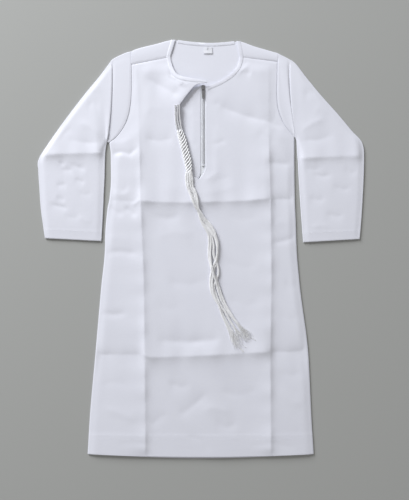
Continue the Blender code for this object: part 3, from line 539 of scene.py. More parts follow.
# Smaller creases and soft dents: points along X and Y, rise, width of the slope
FRONT_CREASES = (
    (((-172, 174.7), (-146.6, 178.8), (-131.8, 175.0), (-112, 190)), -1.3, 6.0, 3.4),
    (((-168, 170), (-150, 172), (-126, 170)), 0.3, 6.0),
    (((116, 160), (145.7, 157.2), (174, 156.2)), -1.2, 8.0, 9.0),
    (((-112.2, 91.7), (-119, 86), (-128.3, 78.5)), 1.2, 3.0, 3.4),
    (((-143, 79.5), (-130, 69), (-118, 58)), -1.2, 3.0, 3.4),
    (((-172, 83), (-158.3, 70.3), (-141.8, 60.3)), -1.0, 3.4, 5.0),
    (((-173, 107), (-150, 100), (-124, 107)), 0.5, 6.0),
    (((-160, 116), (-146, 106), (-132, 116)), -0.4, 5.0),
    (((-182, -7), (-150, -5), (-112, -9)), -0.8, 5.0),
    (((-178, 18), (-155, 22), (-128, 17)), 0.35, 6.0),
    (((-190, -117), (-165, -121), (-134, -119)), -0.9, 4.5),
    (((125, 80), (130, 93), (137, 79)), 0.5, 2.8),
    (((124, 10), (150, 14), (180, 23)), -0.9, 5.0, 3.4),
    (((132, 45), (150, 50), (170, 47)), 0.3, 6.0),
    (((28, 265), (84, 245), (118, 237), (156, 225)), -1.6, 16.0, 9.0),
    (((66.5, 318), (78, 332), (96, 351)), 1.1, 3.0, 4.6),
    (((67, 326), (78, 327), (94, 322)), -0.9, 5.0),
    (((22, 276), (34, 268), (48, 256)), -0.4, 6.0),
    (((100, 216), (122, 206), (140, 192)), -0.4, 7.0),
    (((112, 240), (126, 226), (136, 212)), 0.4, 7.0),
    (((12, 193), (30, 195), (50, 202)), -0.45, 3.4),
    (((10, 267), (20, 269), (36, 264)), -0.4, 3.0),
    (((9, 232), (20, 231), (33, 226)), -0.25, 4.0),
    (((-108, 320), (-70, 298), (-34, 278)), -1.5, 15.0, 10.0),
    (((-108, 250), (-90, 262), (-66, 258)), 0.35, 9.0),
    (((-108, 205), (-78, 199), (-46, 205)), -1.15, 12.0, 9.0),
    (((-53, 338), (-46.6, 321.6), (-40.5, 313), (-32.3, 303.6), (-24, 296)), 1.2, 1.7, 8.0),
    (((-60, 338), (-56, 323), (-46.5, 309.5), (-36, 297.5), (-28, 290)), -1.1, 5.0, 2.4),
    (((-96, 62), (-62, 56), (-32, 62)), -0.8, 9.0, 12.0),
    (((-84, -168), (-22, -172), (40, -166)), -1.7, 15.0, 11.0),
    (((-66, -60), (-20, -66), (30, -50)), -0.55, 12.0),
    (((36, -18), (70, -34), (108, -30)), -0.45, 10.0),
    (((-90, 20), (-50, 32), (-10, 26)), 0.45, 12.0),
    (((-90, -100), (-60, -112), (-30, -104)), -0.4, 10.0),
    (((44, -90), (84, -104), (118, -96)), -0.45, 12.0),
    (((40, 62), (74, 54), (110, 60)), -0.35, 9.0),
    (((-64, -246), (-40, -254), (-18, -252)), -0.6, 6.0, 9.0),
    (((-46, -312), (-14, -288), (16, -262)), -0.8, 12.0, 10.0),
    (((-6, -300), (20, -292), (60, -302)), 0.6, 10.0),
    (((22, -314), (44, -330), (72, -322)), -0.6, 7.0),
    (((30, -262), (70, -270), (112, -258)), -0.55, 10.0),
    (((-96, -330), (-78, -312), (-60, -300)), -0.5, 7.0),
    (((-10, 100), (30, 106), (70, 118)), 0.4, 9.0),
    (((0, 118), (18, 134), (40, 146)), 0.3, 4.0),
    (((12, 112), (34, 128), (60, 134)), -0.3, 5.0),
    (((-188, -290), (-150, -302), (-116, -318)), 0.5, 9.0),
    (((-192, -252), (-160, -246), (-126, -252)), -0.4, 8.0),
    (((138, -250), (165, -280), (192, -290)), 0.5, 10.0),
    (((140, -226), (166, -234), (194, -228)), -0.5, 9.0),
    (((150, -60), (166, -70), (184, -68)), -0.4, 7.0),
    (((140, -120), (164, -130), (188, -124)), -0.35, 8.0),
    (((-30, -342), (0, -352), (20, -380)), -0.35, 5.0),
    (((84, -366), (130, -358), (180, -368)), -0.3, 6.0),
    (((-160, -362), (-120, -356), (-80, -366)), -0.3, 6.0),
)


def inside(area, x, y):
    """One inside an area given by X from and to, Y from and to and its fades, nothing far outside."""
    left, right, foot, top, fade_x, fade_y = area
    across = smooth_step(left - fade_x, left, x) * (1 - smooth_step(right, right + fade_x, x))
    return across * smooth_step(foot - fade_y, foot, y) * (1 - smooth_step(top, top + fade_y, y))


def front_height(x, y, side):
    """Middle height of the front's cloth. Side is -1 left of the slit, 1 right of it."""
    left, right = body_edge(-1, y), body_edge(1, y)
    edge_reach = SLACK_EDGE + SLACK_EDGE_TOP * smooth_step(150.0, 215.0, y)
    edge = smooth_step(0.0, edge_reach, np.minimum(x - left, right - x))
    top = 1 - smooth_step(SEAM_LEFT[1] - SLACK_EDGE, SEAM_LEFT[1] + 8, y)
    near = smooth_step(0.0, 9.0, np.minimum(x - left, right - x))
    upright = [[(row[column], row[0]) for row in UPRIGHT_FOLDS] for column in (1, 2)]
    lines = sum(crease(x, y, points, UPRIGHT_RISE, *UPRIGHT_WIDTHS) for points in upright)
    lines = lines * (1 - 0.75 * smooth_step(150.0, 230.0, y))
    lines = lines + creases(x, y, CROSS_FOLDS) + creases(x, y, FRONT_CREASES)
    waves = 0.42 * drift(x, y) * edge
    turned_up = 0.22 * (1 - smooth_step(HEM_LINE_Y - 0.5, HEM_LINE_Y + 0.9, y))
    relief = (lines + waves) * near * top
    level = SLACK_RISE * edge * top
    padded_by = inside(OVER_FOOT, x, y)
    lift = 0.0
    if side < 0:
        padded_by = np.maximum(padded_by, inside(OVER_PLACKET, x, y))
        lift = FLY_LIFT * smooth_step(*FLY_LIFT_X, x) * smooth_step(*FLY_LIFT_Y, y)
        lift = lift * (1 - smooth_step(*FLY_LIFT_FADE_Y, y))
    else:
        over_tape = inside(OVER_TAPE, x, y)
        level = np.maximum(level, (ZIP_LEVEL - FRONT_LEVEL) * over_tape)
        relief = relief * (1 - 0.7 * over_tape * smooth_step(SLIT_FOOT_Y, SLIT_FOOT_Y + 20, y))
    level = level + (FLY_LEVEL - FRONT_LEVEL - level) * padded_by
    lowest = FRONT_LOWEST * smooth_step(0.0, 12.0, np.minimum(x - left, right - x))
    return FRONT_LEVEL + np.maximum(level + relief, lowest) + turned_up + lift


def front_patch(side, edge_y, inner_x, inner_y, free_edge):
    """One side of the front, from the body's edge to the middle or to the opening's free edge."""
    edge_y, inner_x, inner_y = (np.asarray(value, float)[:, None] for value in (edge_y, inner_x, inner_y))
    edge_x = body_edge(side, edge_y)
    fold_x = curve(UPRIGHT_FOLDS, edge_y, 1 if side < 0 else 2)
    to_fold = edge_x + (fold_x - edge_x) * spaced(0.0, 1.0, 0.05, 0.012, (0.0, 1.0), 0.08)
    spacing = 0.017 if free_edge else 0.032
    to_middle = fold_x + (inner_x - fold_x) * spaced(0.0, 1.0, spacing, 0.008, (0.0, 1.0), 0.05)[1:]
    x = np.concatenate((to_fold, to_middle), axis=1)
    share = (x - edge_x) / (inner_x - edge_x)
    bow = HEM_BOW_FRONT * (1 - smooth_step(0.0, HEM_BOW_REACH, edge_y - HEM_FOOT_Y))
    y = edge_y + (inner_y - edge_y) * share - bow * np.sin(share * math.pi / 2)
    z = front_height(x, y, side)
    z = z - edge_dip(np.abs(x - edge_x), 0.55)
    if free_edge:
        z = z - edge_dip(np.hypot(x - inner_x, y - inner_y), 0.3, 1.6)
        z = z - edge_dip(edge_y[-1] - edge_y, 0.45)
    else:
        z = z - edge_dip(np.abs(y - edge_y[0]) + (y - y[0]), 0.5, 1.8)
    return stacked(x, y, z)


def finer(table, column):
    """A table's column, read at even steps along it."""
    values = np.array([row[column] for row in table], float)
    reach = np.concatenate(([0.0], np.cumsum(np.hypot(
        np.diff([row[0] for row in table]), np.diff([row[1] for row in table])) / math.sqrt(2))))
    at = np.linspace(0.0, reach[-1], round(reach[-1] / ROW_SPACING) + 1)
    return np.interp(at, reach, values)


lower_y = np.concatenate((
    [HEM_FOOT_Y, HEM_FOOT_Y + 0.8, HEM_FOOT_Y + 1.8], np.linspace(HEM_FOOT_Y + 3.4, HEM_LINE_Y - 2, 11),
    spaced(HEM_LINE_Y, SLIT_FOOT_Y, 3.7, 1.5, FRONT_FOLDS_Y, 8.0),
))
middle_x = np.full(len(lower_y), CENTRE_X)
lower = np.concatenate((
    front_patch(-1, lower_y, middle_x, lower_y, False),
    front_patch(1, lower_y, middle_x, lower_y, False)[:, -2::-1],
), axis=1)
fly_inner = finer(LEFT_ROWS, 1)
fly = front_patch(-1, finer(LEFT_ROWS, 0), curve(FLY_EDGE, fly_inner), fly_inner, True)
zip_inner = finer(RIGHT_ROWS, 1)
zip_side = front_patch(1, finer(RIGHT_ROWS, 0), curve(ZIP_EDGE, zip_inner), zip_inner, True)
front_panel = finished(
    "front_cloth", sewn_bmesh((lower, fly, zip_side[:, ::-1])), white_cloth, CLOTH_WALL,
)
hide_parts("front_panel")


# Sleeves
# Each is one piece sewn to a tube, set into the armhole and laid down beside the body. Laying it so
# tucks the cap under, and the lines across the elbow and the cuff are pressed and sewn folds.

CUFF_HEM = 18.0
# Rings of cloth from the armhole to the cuff: X and Y on the outer edge, X and Y on the inner edge
LEFT_SLEEVE = (
    (-146.0, 359.8, -171.4, 196.6), (-157.5, 354.4, -172.5, 196.8), (-164.2, 350.2, -173.6, 197.0),
    (-168.0, 345.6, -174.9, 194.2), (-185.5, 322.3, -175.5, 191.6), (-213.9, 287.9, -175.9, 188.4),
    (-246.6, 245.7, -176.2, 184.8), (-279.2, 200.2, -176.5, 181.2), (-293.6, 178.7, -176.8, 177.8),
    (-297.6, 172.2, -177.0, 174.6), (-300.5, 165.6, -177.2, 170.4), (-301.3, 145.0, -178.0, 136.0),
    (-299.3, 112.0, -179.4, 105.0), (-296.4, 72.0, -180.8, 72.0), (-292.2, 41.0, -182.6, 38.0),
    (-289.1, 20.0, -184.0, 14.6),
)
RIGHT_SLEEVE = (
    (149.0, 357.9, 172.9, 206.6), (156.5, 354.2, 173.3, 206.8), (163.0, 350.6, 173.8, 206.0),
    (168.8, 347.3, 174.4, 203.9), (195.4, 315.4, 175.9, 199.0), (223.4, 281.8, 176.1, 195.4),
    (250.9, 251.4, 176.3, 190.0), (278.9, 217.9, 176.5, 184.0), (297.0, 197.6, 176.8, 178.0),
    (301.0, 183.0, 177.2, 172.0), (301.3, 173.0, 177.8, 166.0), (301.0, 145.0, 179.2, 140.0),
    (299.6, 112.0, 181.4, 105.0), (297.6, 76.0, 183.6, 70.0), (295.0, 40.0, 186.0, 38.0),
    (292.9, 18.5, 187.9, 12.4),
)
PLEAT_RING = 3
PLEAT_BOW = ((1, 1.0), (2, 2.1), (3, 3.0), (4, 1.2))
PLEAT_TUCK = 5.0
# The cap's cloth runs on below the sleeve and turns back to the folded edge that lies on top:
# distance past the edge as a share of the tuck, and height
PLEAT = (
    (0.45, 0.0), (0.85, 0.04), (1.02, 0.26), (0.85, 0.50), (0.45, 0.62), (0.05, 0.86),
    (-0.26, 1.16), (-0.34, 1.56), (-0.20, 1.98),
)
PLEAT_HEIGHT = 2.15
PLEAT_HEIGHT_RIGHT = 1.1
CAP_DIP = 0.9
# On the right the cap's cloth stands up beside the pleat, with a narrow valley between the two
RIGHT_CAP_RISE = 1.32
PLEAT_SETTLE = 22.0

# Creases of the sleeves' upper cloth: points along X and Y, rise, width of the slope
LEFT_SLEEVE_CREASES = (
    (((-303, 171.5), (-280, 174.2), (-261.3, 175.4), (-215, 177.0), (-174, 177.5)), 2.8, 40.0, 9.0),
    (((-263.9, 159.3), (-250.8, 156.1)), -0.6, 3.0, 5.0),
    (((-260.6, 146.2), (-235.8, 146.2)), -0.6, 3.2, 5.0),
    (((-245.8, 159.3), (-228, 152), (-211.2, 146.2)), -0.8, 3.4, 6.0),
    (((-234.3, 129.7), (-214.3, 121.4)), -0.6, 3.4, 5.0),
    (((-268.9, 116.6), (-247.4, 119.7)), -0.6, 3.4, 5.0),
    (((-267.2, 96.6), (-250.8, 88.2)), -0.55, 3.4, 5.0),
    (((-283.7, 83.4), (-262, 79), (-242.4, 73.4)), -0.75, 3.4, 6.0),
    (((-256, 62), (-240, 58), (-222, 60)), -0.4, 5.0),
    (((-230, 104), (-212, 100), (-198, 104)), -0.4, 5.0),
    (((-230, 60), (-212, 52), (-200, 50)), 0.45, 6.0),
    (((-178, 205), (-205, 225), (-232, 238)), 0.6, 8.0),
    (((-184, 262), (-200, 270), (-214, 262)), -0.5, 8.0),
    (((-184, 300), (-196, 296), (-206, 284)), 0.4, 7.0),
    (((-179, 196), (-215, 196), (-252, 204)), -0.7, 9.0),
    (((-236, 226), (-250, 214), (-262, 196)), -0.45, 7.0),
)
RIGHT_SLEEVE_CREASES = (
    (((174, 167.0), (200, 168.4), (267.8, 171.4), (303, 171.0)), 2.1, 40.0, 7.0),
    (((178, 214), (205, 232), (235, 244)), 0.6, 8.0),
    (((179, 200), (215, 201), (250, 212)), -0.7, 9.0),
    (((186, 152), (204, 146), (226, 150)), -0.5, 5.0, 7.0),
    (((200, 140), (222, 134), (245, 136)), -0.6, 4.0, 7.0),
    (((240, 118), (262, 110), (280, 112)), -0.5, 4.0, 7.0),
    (((196, 96), (214, 90), (232, 92)), -0.5, 5.0, 7.0),
    (((226, 66), (250, 60), (268, 62)), -0.55, 5.0, 7.0),
    (((262, 150), (276, 140), (290, 142)), -0.4, 5.0),
    (((186, 284), (204, 290), (216, 284)), -0.45, 7.0),
    (((206, 262), (222, 258), (234, 246)), 0.4, 7.0),
    (((200, 40), (222, 44), (240, 40)), 0.4, 6.0),
)
SLEEVE_BACK_CREASES = (
    (((-303, 169), (-240, 173), (-172, 174)), 0.4, 5.0),
    (((172, 166), (240, 168), (303, 170)), 0.4, 5.0),
    (((-290, 90), (-250, 84), (-200, 96)), 0.2, 7.0),
    (((200, 90), (250, 100), (290, 92)), 0.2, 7.0),
    (((-180, 200), (-220, 236), (-240, 248)), 0.25, 8.0),
    (((180, 206), (214, 238), (240, 250)), 0.25, 8.0),
)


def through(rings, stations, at):
    """Rings of points read from a smooth run through the given ones."""
    spans = np.diff(stations)[:, None, None]
    slopes = np.diff(rings, axis=0) / spans
    middle = (slopes[:-1] * spans[1:] + slopes[1:] * spans[:-1]) / (spans[1:] + spans[:-1])
    tangents = np.concatenate((slopes[:1], middle, slopes[-1:]))
    i = np.clip(np.searchsorted(stations, at, side="right") - 1, 0, len(slopes) - 1)
    length = spans[i]
    t = ((at - stations[i]) / np.diff(stations)[i])[:, None, None]
    return (
        rings[i] * (1 + 2 * t) * (1 - t) ** 2
        + tangents[i] * length * t * (1 - t) ** 2
        + rings[i + 1] * t * t * (3 - 2 * t)
        + tangents[i + 1] * length * t * t * (t - 1)
    )


def sleeve_rings(side, armhole, table, share):
    """The given rings of a flat sleeve, read at shares of the way from inner edge to outer edge."""
    y, x = (np.array([row[i] for row in armhole]) for i in (0, 1))
    reach = np.linspace(0.0, 1.0, len(armhole))
    head_y = np.interp(share, reach, y)
    head = np.stack((curve(armhole, head_y), head_y), axis=-1)
    along = np.gradient(head, axis=0)
    along /= np.hypot(along[:, 0], along[:, 1])[:, None]
    head = head + np.stack((along[:, 1], -along[:, 0]), axis=-1) * side * SEAM_GAP
    head[0] += along[0] * EDGE_ROUND
    head[-1] -= along[-1] * EDGE_ROUND
    rings = [head]
    for outer_x, outer_y, inner_x, inner_y in table:
        outer, inner = np.array((outer_x, outer_y)), np.array((inner_x, inner_y))
        inset = (outer - inner) / np.hypot(*(outer - inner)) * EDGE_ROUND
        rings.append(inner + inset + (outer - inner - 2 * inset) * share[:, None])
    return np.array(rings)


def make_sleeve(name, side, armhole, table, wrinkles):
    even = np.linspace(0.0, 1.0, 45)
    share = np.concatenate(([0.0, 0.006, 0.014], even[1:-1], [0.986, 0.994, 1.0]))
    rings = sleeve_rings(side, armhole, table, share)
    for number, bow in PLEAT_BOW:
        rings[number, :, 0] -= side * bow * np.sin(math.pi * share)
    steps = np.hypot(*np.moveaxis(np.diff(rings, axis=0), -1, 0)).mean(axis=1)
    stations = np.concatenate(([0.0], np.cumsum(steps)))
    fold = stations[PLEAT_RING]
    before_at = np.concatenate((np.linspace(0.0, 0.86, 12), [0.9, 0.93, 0.955, 0.975, 0.99, 1.0])) * fold
    before = through(rings, stations, before_at)
    after_at = np.concatenate((
        np.linspace(fold, stations[-1] - CUFF_HEM, 112)[1:],
        np.linspace(stations[-1] - CUFF_HEM, stations[-1] - 2.4, 8)[1:],
        stations[-1] - np.array([1.6, 0.8, 0.0]),
    ))
    after = through(rings, stations, after_at)
    edge = before[-1]
    room = np.hypot(*(edge - before[0]).T)
    tuck = np.minimum(PLEAT_TUCK, 0.7 * room)[:, None]
    outward = after[0] - edge
    outward = outward / np.hypot(*outward.T)[:, None]
    depth = smooth_step(0.0, 0.05, share) * (0.30 + 0.70 * (1 - share)) * (1 - smooth_step(0.9, 1.0, share))
    tucked = np.array([edge + outward * tuck * away for away, _ in PLEAT])
    straight = np.array([edge + (after[0] - edge) * 0.8 * (i + 1) / len(PLEAT) for i in range(len(PLEAT))])
    pleated = straight + (tucked - straight) * depth[None, :, None]
    under = np.concatenate((before, straight, after))
    over = np.concatenate((before, pleated, after))

    rim = smooth_step(0.0, 0.10, share) * (1 - smooth_step(0.90, 1.0, share))
    swell = 0.3 * np.sin(share * math.pi) * rim
    climb = (before_at / fold)[:, None]
    lifted = rim * (0.45 - 0.25 * climb) * (1 + 0.5 * drift(before[..., 0], before[..., 1], 2.0))
    lifted = lifted - CAP_DIP * depth * smooth_step(0.88, 1.0, climb)
    pleat_height, cap_rise = (PLEAT_HEIGHT, 0.0) if side < 0 else (PLEAT_HEIGHT_RIGHT, RIGHT_CAP_RISE)
    beside = smooth_step(0.2, 0.8, climb) * (1 - smooth_step(0.86, 0.94, climb))
    lifted = lifted + cap_rise * depth * beside
    folded = np.array([[height] for _, height in PLEAT]) * depth * pleat_height / PLEAT_HEIGHT + 0.15 * rim
    settle = smooth_step(0.0, PLEAT_SETTLE, after_at - fold)[:, None]
    calm_cuff = smooth_step(0.0, 26.0, stations[-1] - after_at)[:, None]
    laid = rim * (0.15 + settle * (0.30 + 0.55 * calm_cuff)) + pleat_height * depth * (1 - settle)
    base = np.concatenate((lifted, folded, laid)) + swell
    x, y = over[..., 0], over[..., 1]
    loose = creases(x, y, wrinkles) + 0.42 * drift(x, y, 4.0 + side)
    loose_here = np.concatenate((np.zeros(len(before) + len(PLEAT)), smooth_step(2.0, 20.0, after_at - fold)))
    from_cuff = stations[-1] - np.concatenate((np.zeros(len(before) + len(PLEAT)) - 99, after_at))
    turned_up = 0.2 * (1 - smooth_step(CUFF_HEM - 0.4, CUFF_HEM + 0.8, from_cuff))
    off_edges = smooth_step(0.0, 0.07, share) * (1 - smooth_step(0.93, 1.0, share))
    upper = FRONT_LEVEL + base + loose * loose_here[:, None] * off_edges
    upper = upper + turned_up[:, None] - edge_dip(from_cuff, 0.4, 1.6)[:, None]
    from_head = np.hypot(*np.moveaxis(over - over[0], -1, 0))
    upper = upper - edge_dip(from_head, 0.45) * (np.arange(len(over)) < len(before))[:, None]
    upper = np.maximum(upper, FRONT_LEVEL - 0.5)
    ux, uy = under[..., 0], under[..., 1]
    lift = creases(ux, uy, SLEEVE_BACK_CREASES) + 0.12 * (1 + drift(ux, uy, 6.0 + side))
    off_edges = smooth_step(0.0, 0.12, share) * (1 - smooth_step(0.88, 1.0, share))
    lower = BACK_LEVEL + np.clip(lift, 0.0, 0.6) * off_edges

    def turn(end, inner_neighbour):
        """The cloth that runs round the flat tube's edge, from the under layer to the upper one."""
        away = under[:, end] - under[:, inner_neighbour]
        away = away / np.hypot(*away.T)[:, None]
        half = (upper[:, end] - lower[:, end]) / 2
        made = []
        for angle in np.linspace(-math.pi / 2, math.pi / 2, EDGE_STEPS + 1)[1:-1]:
            place = under[:, end] + away * FOLD_RADIUS * math.cos(angle)
            made.append(stacked(place[:, 0], place[:, 1], lower[:, end] + half * (1 + math.sin(angle))))
        return made

    columns = [stacked(ux[:, i], uy[:, i], lower[:, i]) for i in range(len(share))]
    columns += turn(-1, -3)
    columns += [stacked(x[:, i], y[:, i], upper[:, i]) for i in reversed(range(len(share)))]
    columns += turn(0, 2)[::-1]
    patch = np.stack(columns + columns[:1], axis=1)
    piece = finished(name, sewn_bmesh((patch,)), white_cloth, CLOTH_WALL)
    return piece


sleeve_left = make_sleeve("sleeve_cloth_left", -1, LEFT_ARMHOLE, LEFT_SLEEVE, LEFT_SLEEVE_CREASES)
sleeve_right = make_sleeve("sleeve_cloth_right", 1, RIGHT_ARMHOLE, RIGHT_SLEEVE, RIGHT_SLEEVE_CREASES)
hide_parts("sleeve_left")
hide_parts("sleeve_right")


# Placket
# A strip of the same cloth below the fly cover, sewn to the left zip tape. Its right edge is folded
# under beside the zip, and it ends in a point at the foot of the slit.

PLACKET_X = (-45.0, -1.0)
PLACKET_Y = (116.0, 297.0)
PLACKET_POINT = 9.0
PLACKET_STEP_X = (-32.0, -12.0)
PLACKET_CREASES = (
    (((-20, 246), (-12, 243), (-6, 244)), -0.22, 3.0),
    (((-18, 196), (-11, 194), (-5, 195)), -0.22, 3.0),
    (((-30, 262), (-22, 268), (-12, 270)), 0.2, 4.0),
)
up = np.concatenate((np.linspace(0.0, 0.16, 20), np.linspace(0.16, 1.0, 66)[1:]))[:, None]
share = np.concatenate((np.linspace(0.0, 0.9, 18), [0.93, 0.96, 0.98, 1.0]))[None, :]
placket_y = PLACKET_Y[0] + (PLACKET_Y[1] - PLACKET_Y[0]) * up + 0 * share
placket_right = PLACKET_X[1] - PLACKET_POINT * (1 - smooth_step(0.0, 0.14, up))
placket_x = PLACKET_X[0] + (placket_right - PLACKET_X[0]) * share
placket_z = FRONT_LEVEL + (ZIP_LEVEL - FRONT_LEVEL) * smooth_step(*PLACKET_STEP_X, placket_x)
placket_z = placket_z + creases(placket_x, placket_y, PLACKET_CREASES)
placket_z = placket_z - edge_dip(placket_right - placket_x, 0.25, 1.4)
placket_z = placket_z + 0.08 * drift(placket_x, placket_y, 5.0)
placket_bm = sewn_bmesh((stacked(placket_x, placket_y, placket_z),))
placket = finished("placket_cloth", placket_bm, white_cloth, CLOTH_WALL)
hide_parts("placket")


# Neck binding
# A narrow bias strip in three lengths, folded over the cut edge of the neck and topstitched. The
# left length runs on over the tab of the fly cover.

BINDING_WIDTH = 7.0
BINDING_INSET = 0.1
BINDING_TAPER = 4.4
BINDING_TAPER_RATE = 0.2
BINDING_TAB_END = (10.2, 307.4)
BINDING_LEFT_END = ((-54.0, 366.0), (-48.6, 384.6))
BINDING_RIGHT_END = ((69.2, 366.0), (65.8, 382.6))
BINDING_BACK_X = (-43.0, -20.8, 10.6, 38.4, 60.5)
BINDING_TAB_LENGTH = 58.0
LINE_STEP = 0.6
BINDING_SEWN_DOWN = 0.34
# Across the strip: share of its width away from the neck, and height
BINDING_PROFILE = (
    (0.0, -0.3), (0.05, -0.08), (0.14, 0.02), (0.5, 0.06), (0.8, 0.0), (0.93, -0.1), (1.0, -0.3),
)


class Line:
    """Smooth line through X and Y points, read by its length."""

    def __init__(self, points):
        spots = np.array(points, float)
        ends = np.concatenate(([2 * spots[0] - spots[1]], spots, [2 * spots[-1] - spots[-2]]))
        t = np.linspace(0.0, 1.0, 12)[:-1, None]
        run = [
            b + 0.5 * (
                (c - a) * t + (2 * a - 5 * b + 4 * c - d) * t ** 2 + (3 * b - a - 3 * c + d) * t ** 3
            )
            for a, b, c, d in zip(ends, ends[1:], ends[2:], ends[3:])
        ]
        self.spots = np.concatenate((*run, spots[-1:]))
        steps = np.diff(self.spots, axis=0)
        self.reached = np.concatenate(([0.0], np.cumsum(np.hypot(steps[:, 0], steps[:, 1]))))
        self.length = self.reached[-1]

    def at(self, distance):
        """Places, and the directions to their left."""
        distance = np.asarray(distance, float)
        near = np.clip(distance, LINE_STEP, self.length - LINE_STEP)
        place, ahead, behind = (
            np.stack([np.interp(at, self.reached, self.spots[:, i]) for i in (0, 1)], axis=-1)
            for at in (distance, near + LINE_STEP, near - LINE_STEP)
        )
        step = ahead - behind
        step = step / np.hypot(step[..., 0], step[..., 1])[..., None]
        return place, np.stack((-step[..., 1], step[..., 0]), axis=-1)


class Ground:
    """Finished pieces seen from above, to lay other pieces on."""

    def __init__(self, *pieces):
        graph = bpy.context.evaluated_depsgraph_get()
        self.trees = [BVHTree.FromObject(piece, graph) for piece in pieces]

    def top(self, x, y, reach=0.0):
        """Highest top within reach of a place."""
        spots = [(x, y)]
        if reach:
            spots += [(x + reach * math.cos(a), y + reach * math.sin(a)) for a in np.arange(8) * math.pi / 4]
        best = 0.0
        for spot_x, spot_y in spots:
            for tree in self.trees:
                hit = tree.ray_cast(Vector((spot_x * MM, spot_y * MM, 0.1)), Vector((0, 0, -1)))[0]
                if hit:
                    best = max(best, hit.z / MM)
        return best

    def tops(self, x, y, reach=0.0):
        x, y = np.broadcast_arrays(x, y)
        found = [self.top(float(a), float(b), reach) for a, b in zip(x.ravel(), y.ravel())]
        return np.array(found).reshape(x.shape)


def softened(values, times):
    """Neighbouring rows of heights drawn together."""
    for _ in range(times):
        padded = np.concatenate((values[:1], values, values[-1:]))
        values = (padded[:-2] + 2 * padded[1:-1] + padded[2:]) / 4
    return values


def make_binding(name, edge_points, inward, ground, lift, taper=0.0):
    """A strip along the neck's edge, flat where it tapers on the tab and raised by its lift elsewhere."""
    line = Line(edge_points)
    distance = np.linspace(0.0, line.length, round(line.length / 1.4))
    place, left = line.at(distance)
    lift = lift * (smooth_step(20.0, BINDING_TAB_LENGTH, distance) if taper else 1.0)
    width = BINDING_WIDTH - np.maximum(taper - BINDING_TAPER_RATE * distance, 0.0)
    rows = []
    for share, height in BINDING_PROFILE:
        spot = place + left * (inward * (BINDING_INSET + width * share))[:, None]
        top = softened(ground.tops(spot[:, 0], spot[:, 1], 0.8), 3)
        sewn_down = BINDING_SEWN_DOWN * smooth_step(0.82, 1.0, share)
        raised = 0.04 + lift + height * (0.25 + 2.4 * lift) - sewn_down
        rows.append(stacked(spot[:, 0], spot[:, 1], top + raised))
    return finished(name, sewn_bmesh((np.stack(rows, axis=1),)), white_cloth, CLOTH_WALL)


neck_ground = Ground(front_panel, back_panel)
left_neck = [(x, y) for y, x in FLY_EDGE if y > BINDING_TAB_END[1]]
right_neck = [(x, y) for y, x in ZIP_EDGE if y > 293.1]
binding_left_edge = [BINDING_TAB_END, *left_neck, *BINDING_LEFT_END]
binding_right_edge = [*right_neck, *BINDING_RIGHT_END]
binding_back_edge = [(x, float(curve(SHOULDER_LINE, x))) for x in BINDING_BACK_X]
binding_left = make_binding("neck_binding_left", binding_left_edge, 1, neck_ground, 0.20, BINDING_TAPER)
binding_right = make_binding("neck_binding_right", binding_right_edge, -1, neck_ground, 0.03)
binding_back = make_binding("neck_binding_back", binding_back_edge, -1, Ground(back_panel), 0.10)
for piece, node, length, below, area in (
    (binding_left, "binding_left", 0.150, front_panel, 0.00095),
    (binding_right, "binding_right", 0.126, front_panel, 0.00088),
    (binding_back, "binding_back", 0.105, back_panel, 0.00078),
):
    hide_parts(node)


# Zip
# Woven grey tape below the two fronts, with a moulded coil of small teeth down its middle. A cast
# slider rides at the top of the coil with its tab turned down, and a crimped stop closes the foot.

ZIP_X = 3.6
TAPE_X = (-7.4, 14.6)
TAPE_Y = (131.0, 300.0)
TAPE_LEVEL = 2.25
TAPE_WALL = 0.5
TEETH_Y = (156.0, 290.6)
TEETH_PITCH = 1.3
TOOTH_LEVEL = 3.3
# Half sizes of a tooth along Z, Y and X, and how far it lies beside the zip's line
TOOTH_HALF = (0.62, 0.46, 1.35)
TOOTH_ASIDE = 0.75
# Cord that the teeth are sewn over, one beside each row
TEETH_CORD_RADIUS = 0.42
TEETH_CORD_ASIDE = 1.75
TEETH_CORD_BELOW = 0.35

zip_tape_weave = Finish("zip_tape", (0.72, 0.74, 0.78), 0.8, sheen_weight=0.1)
ribs = zip_tape_weave.bands("X", 210.0)
picks = zip_tape_weave.bands("Y", 330.0)
tape_tone = ribs * 0.5 + picks * 0.5
zip_tape_weave.set(base_color=zip_tape_weave.mix(tape_tone, (0.72, 0.74, 0.78), (0.86, 0.88, 0.92)))
zip_tape_weave.set(normal=zip_tape_weave.bump(ribs * 0.6 + picks * 0.4, 0.00012))
tape_x, tape_y = np.linspace(*TAPE_X, 9)[None, :], np.linspace(*TAPE_Y, 60)[:, None]
tape_z = TAPE_LEVEL + 0.05 * np.sin(np.linspace(0, 19, 60))[:, None]
tape_bm = sewn_bmesh((stacked(tape_x, tape_y, tape_z),))
zip_tape = finished("zip_tape_cloth", tape_bm, zip_tape_weave.material, TAPE_WALL)
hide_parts("zip_tape")

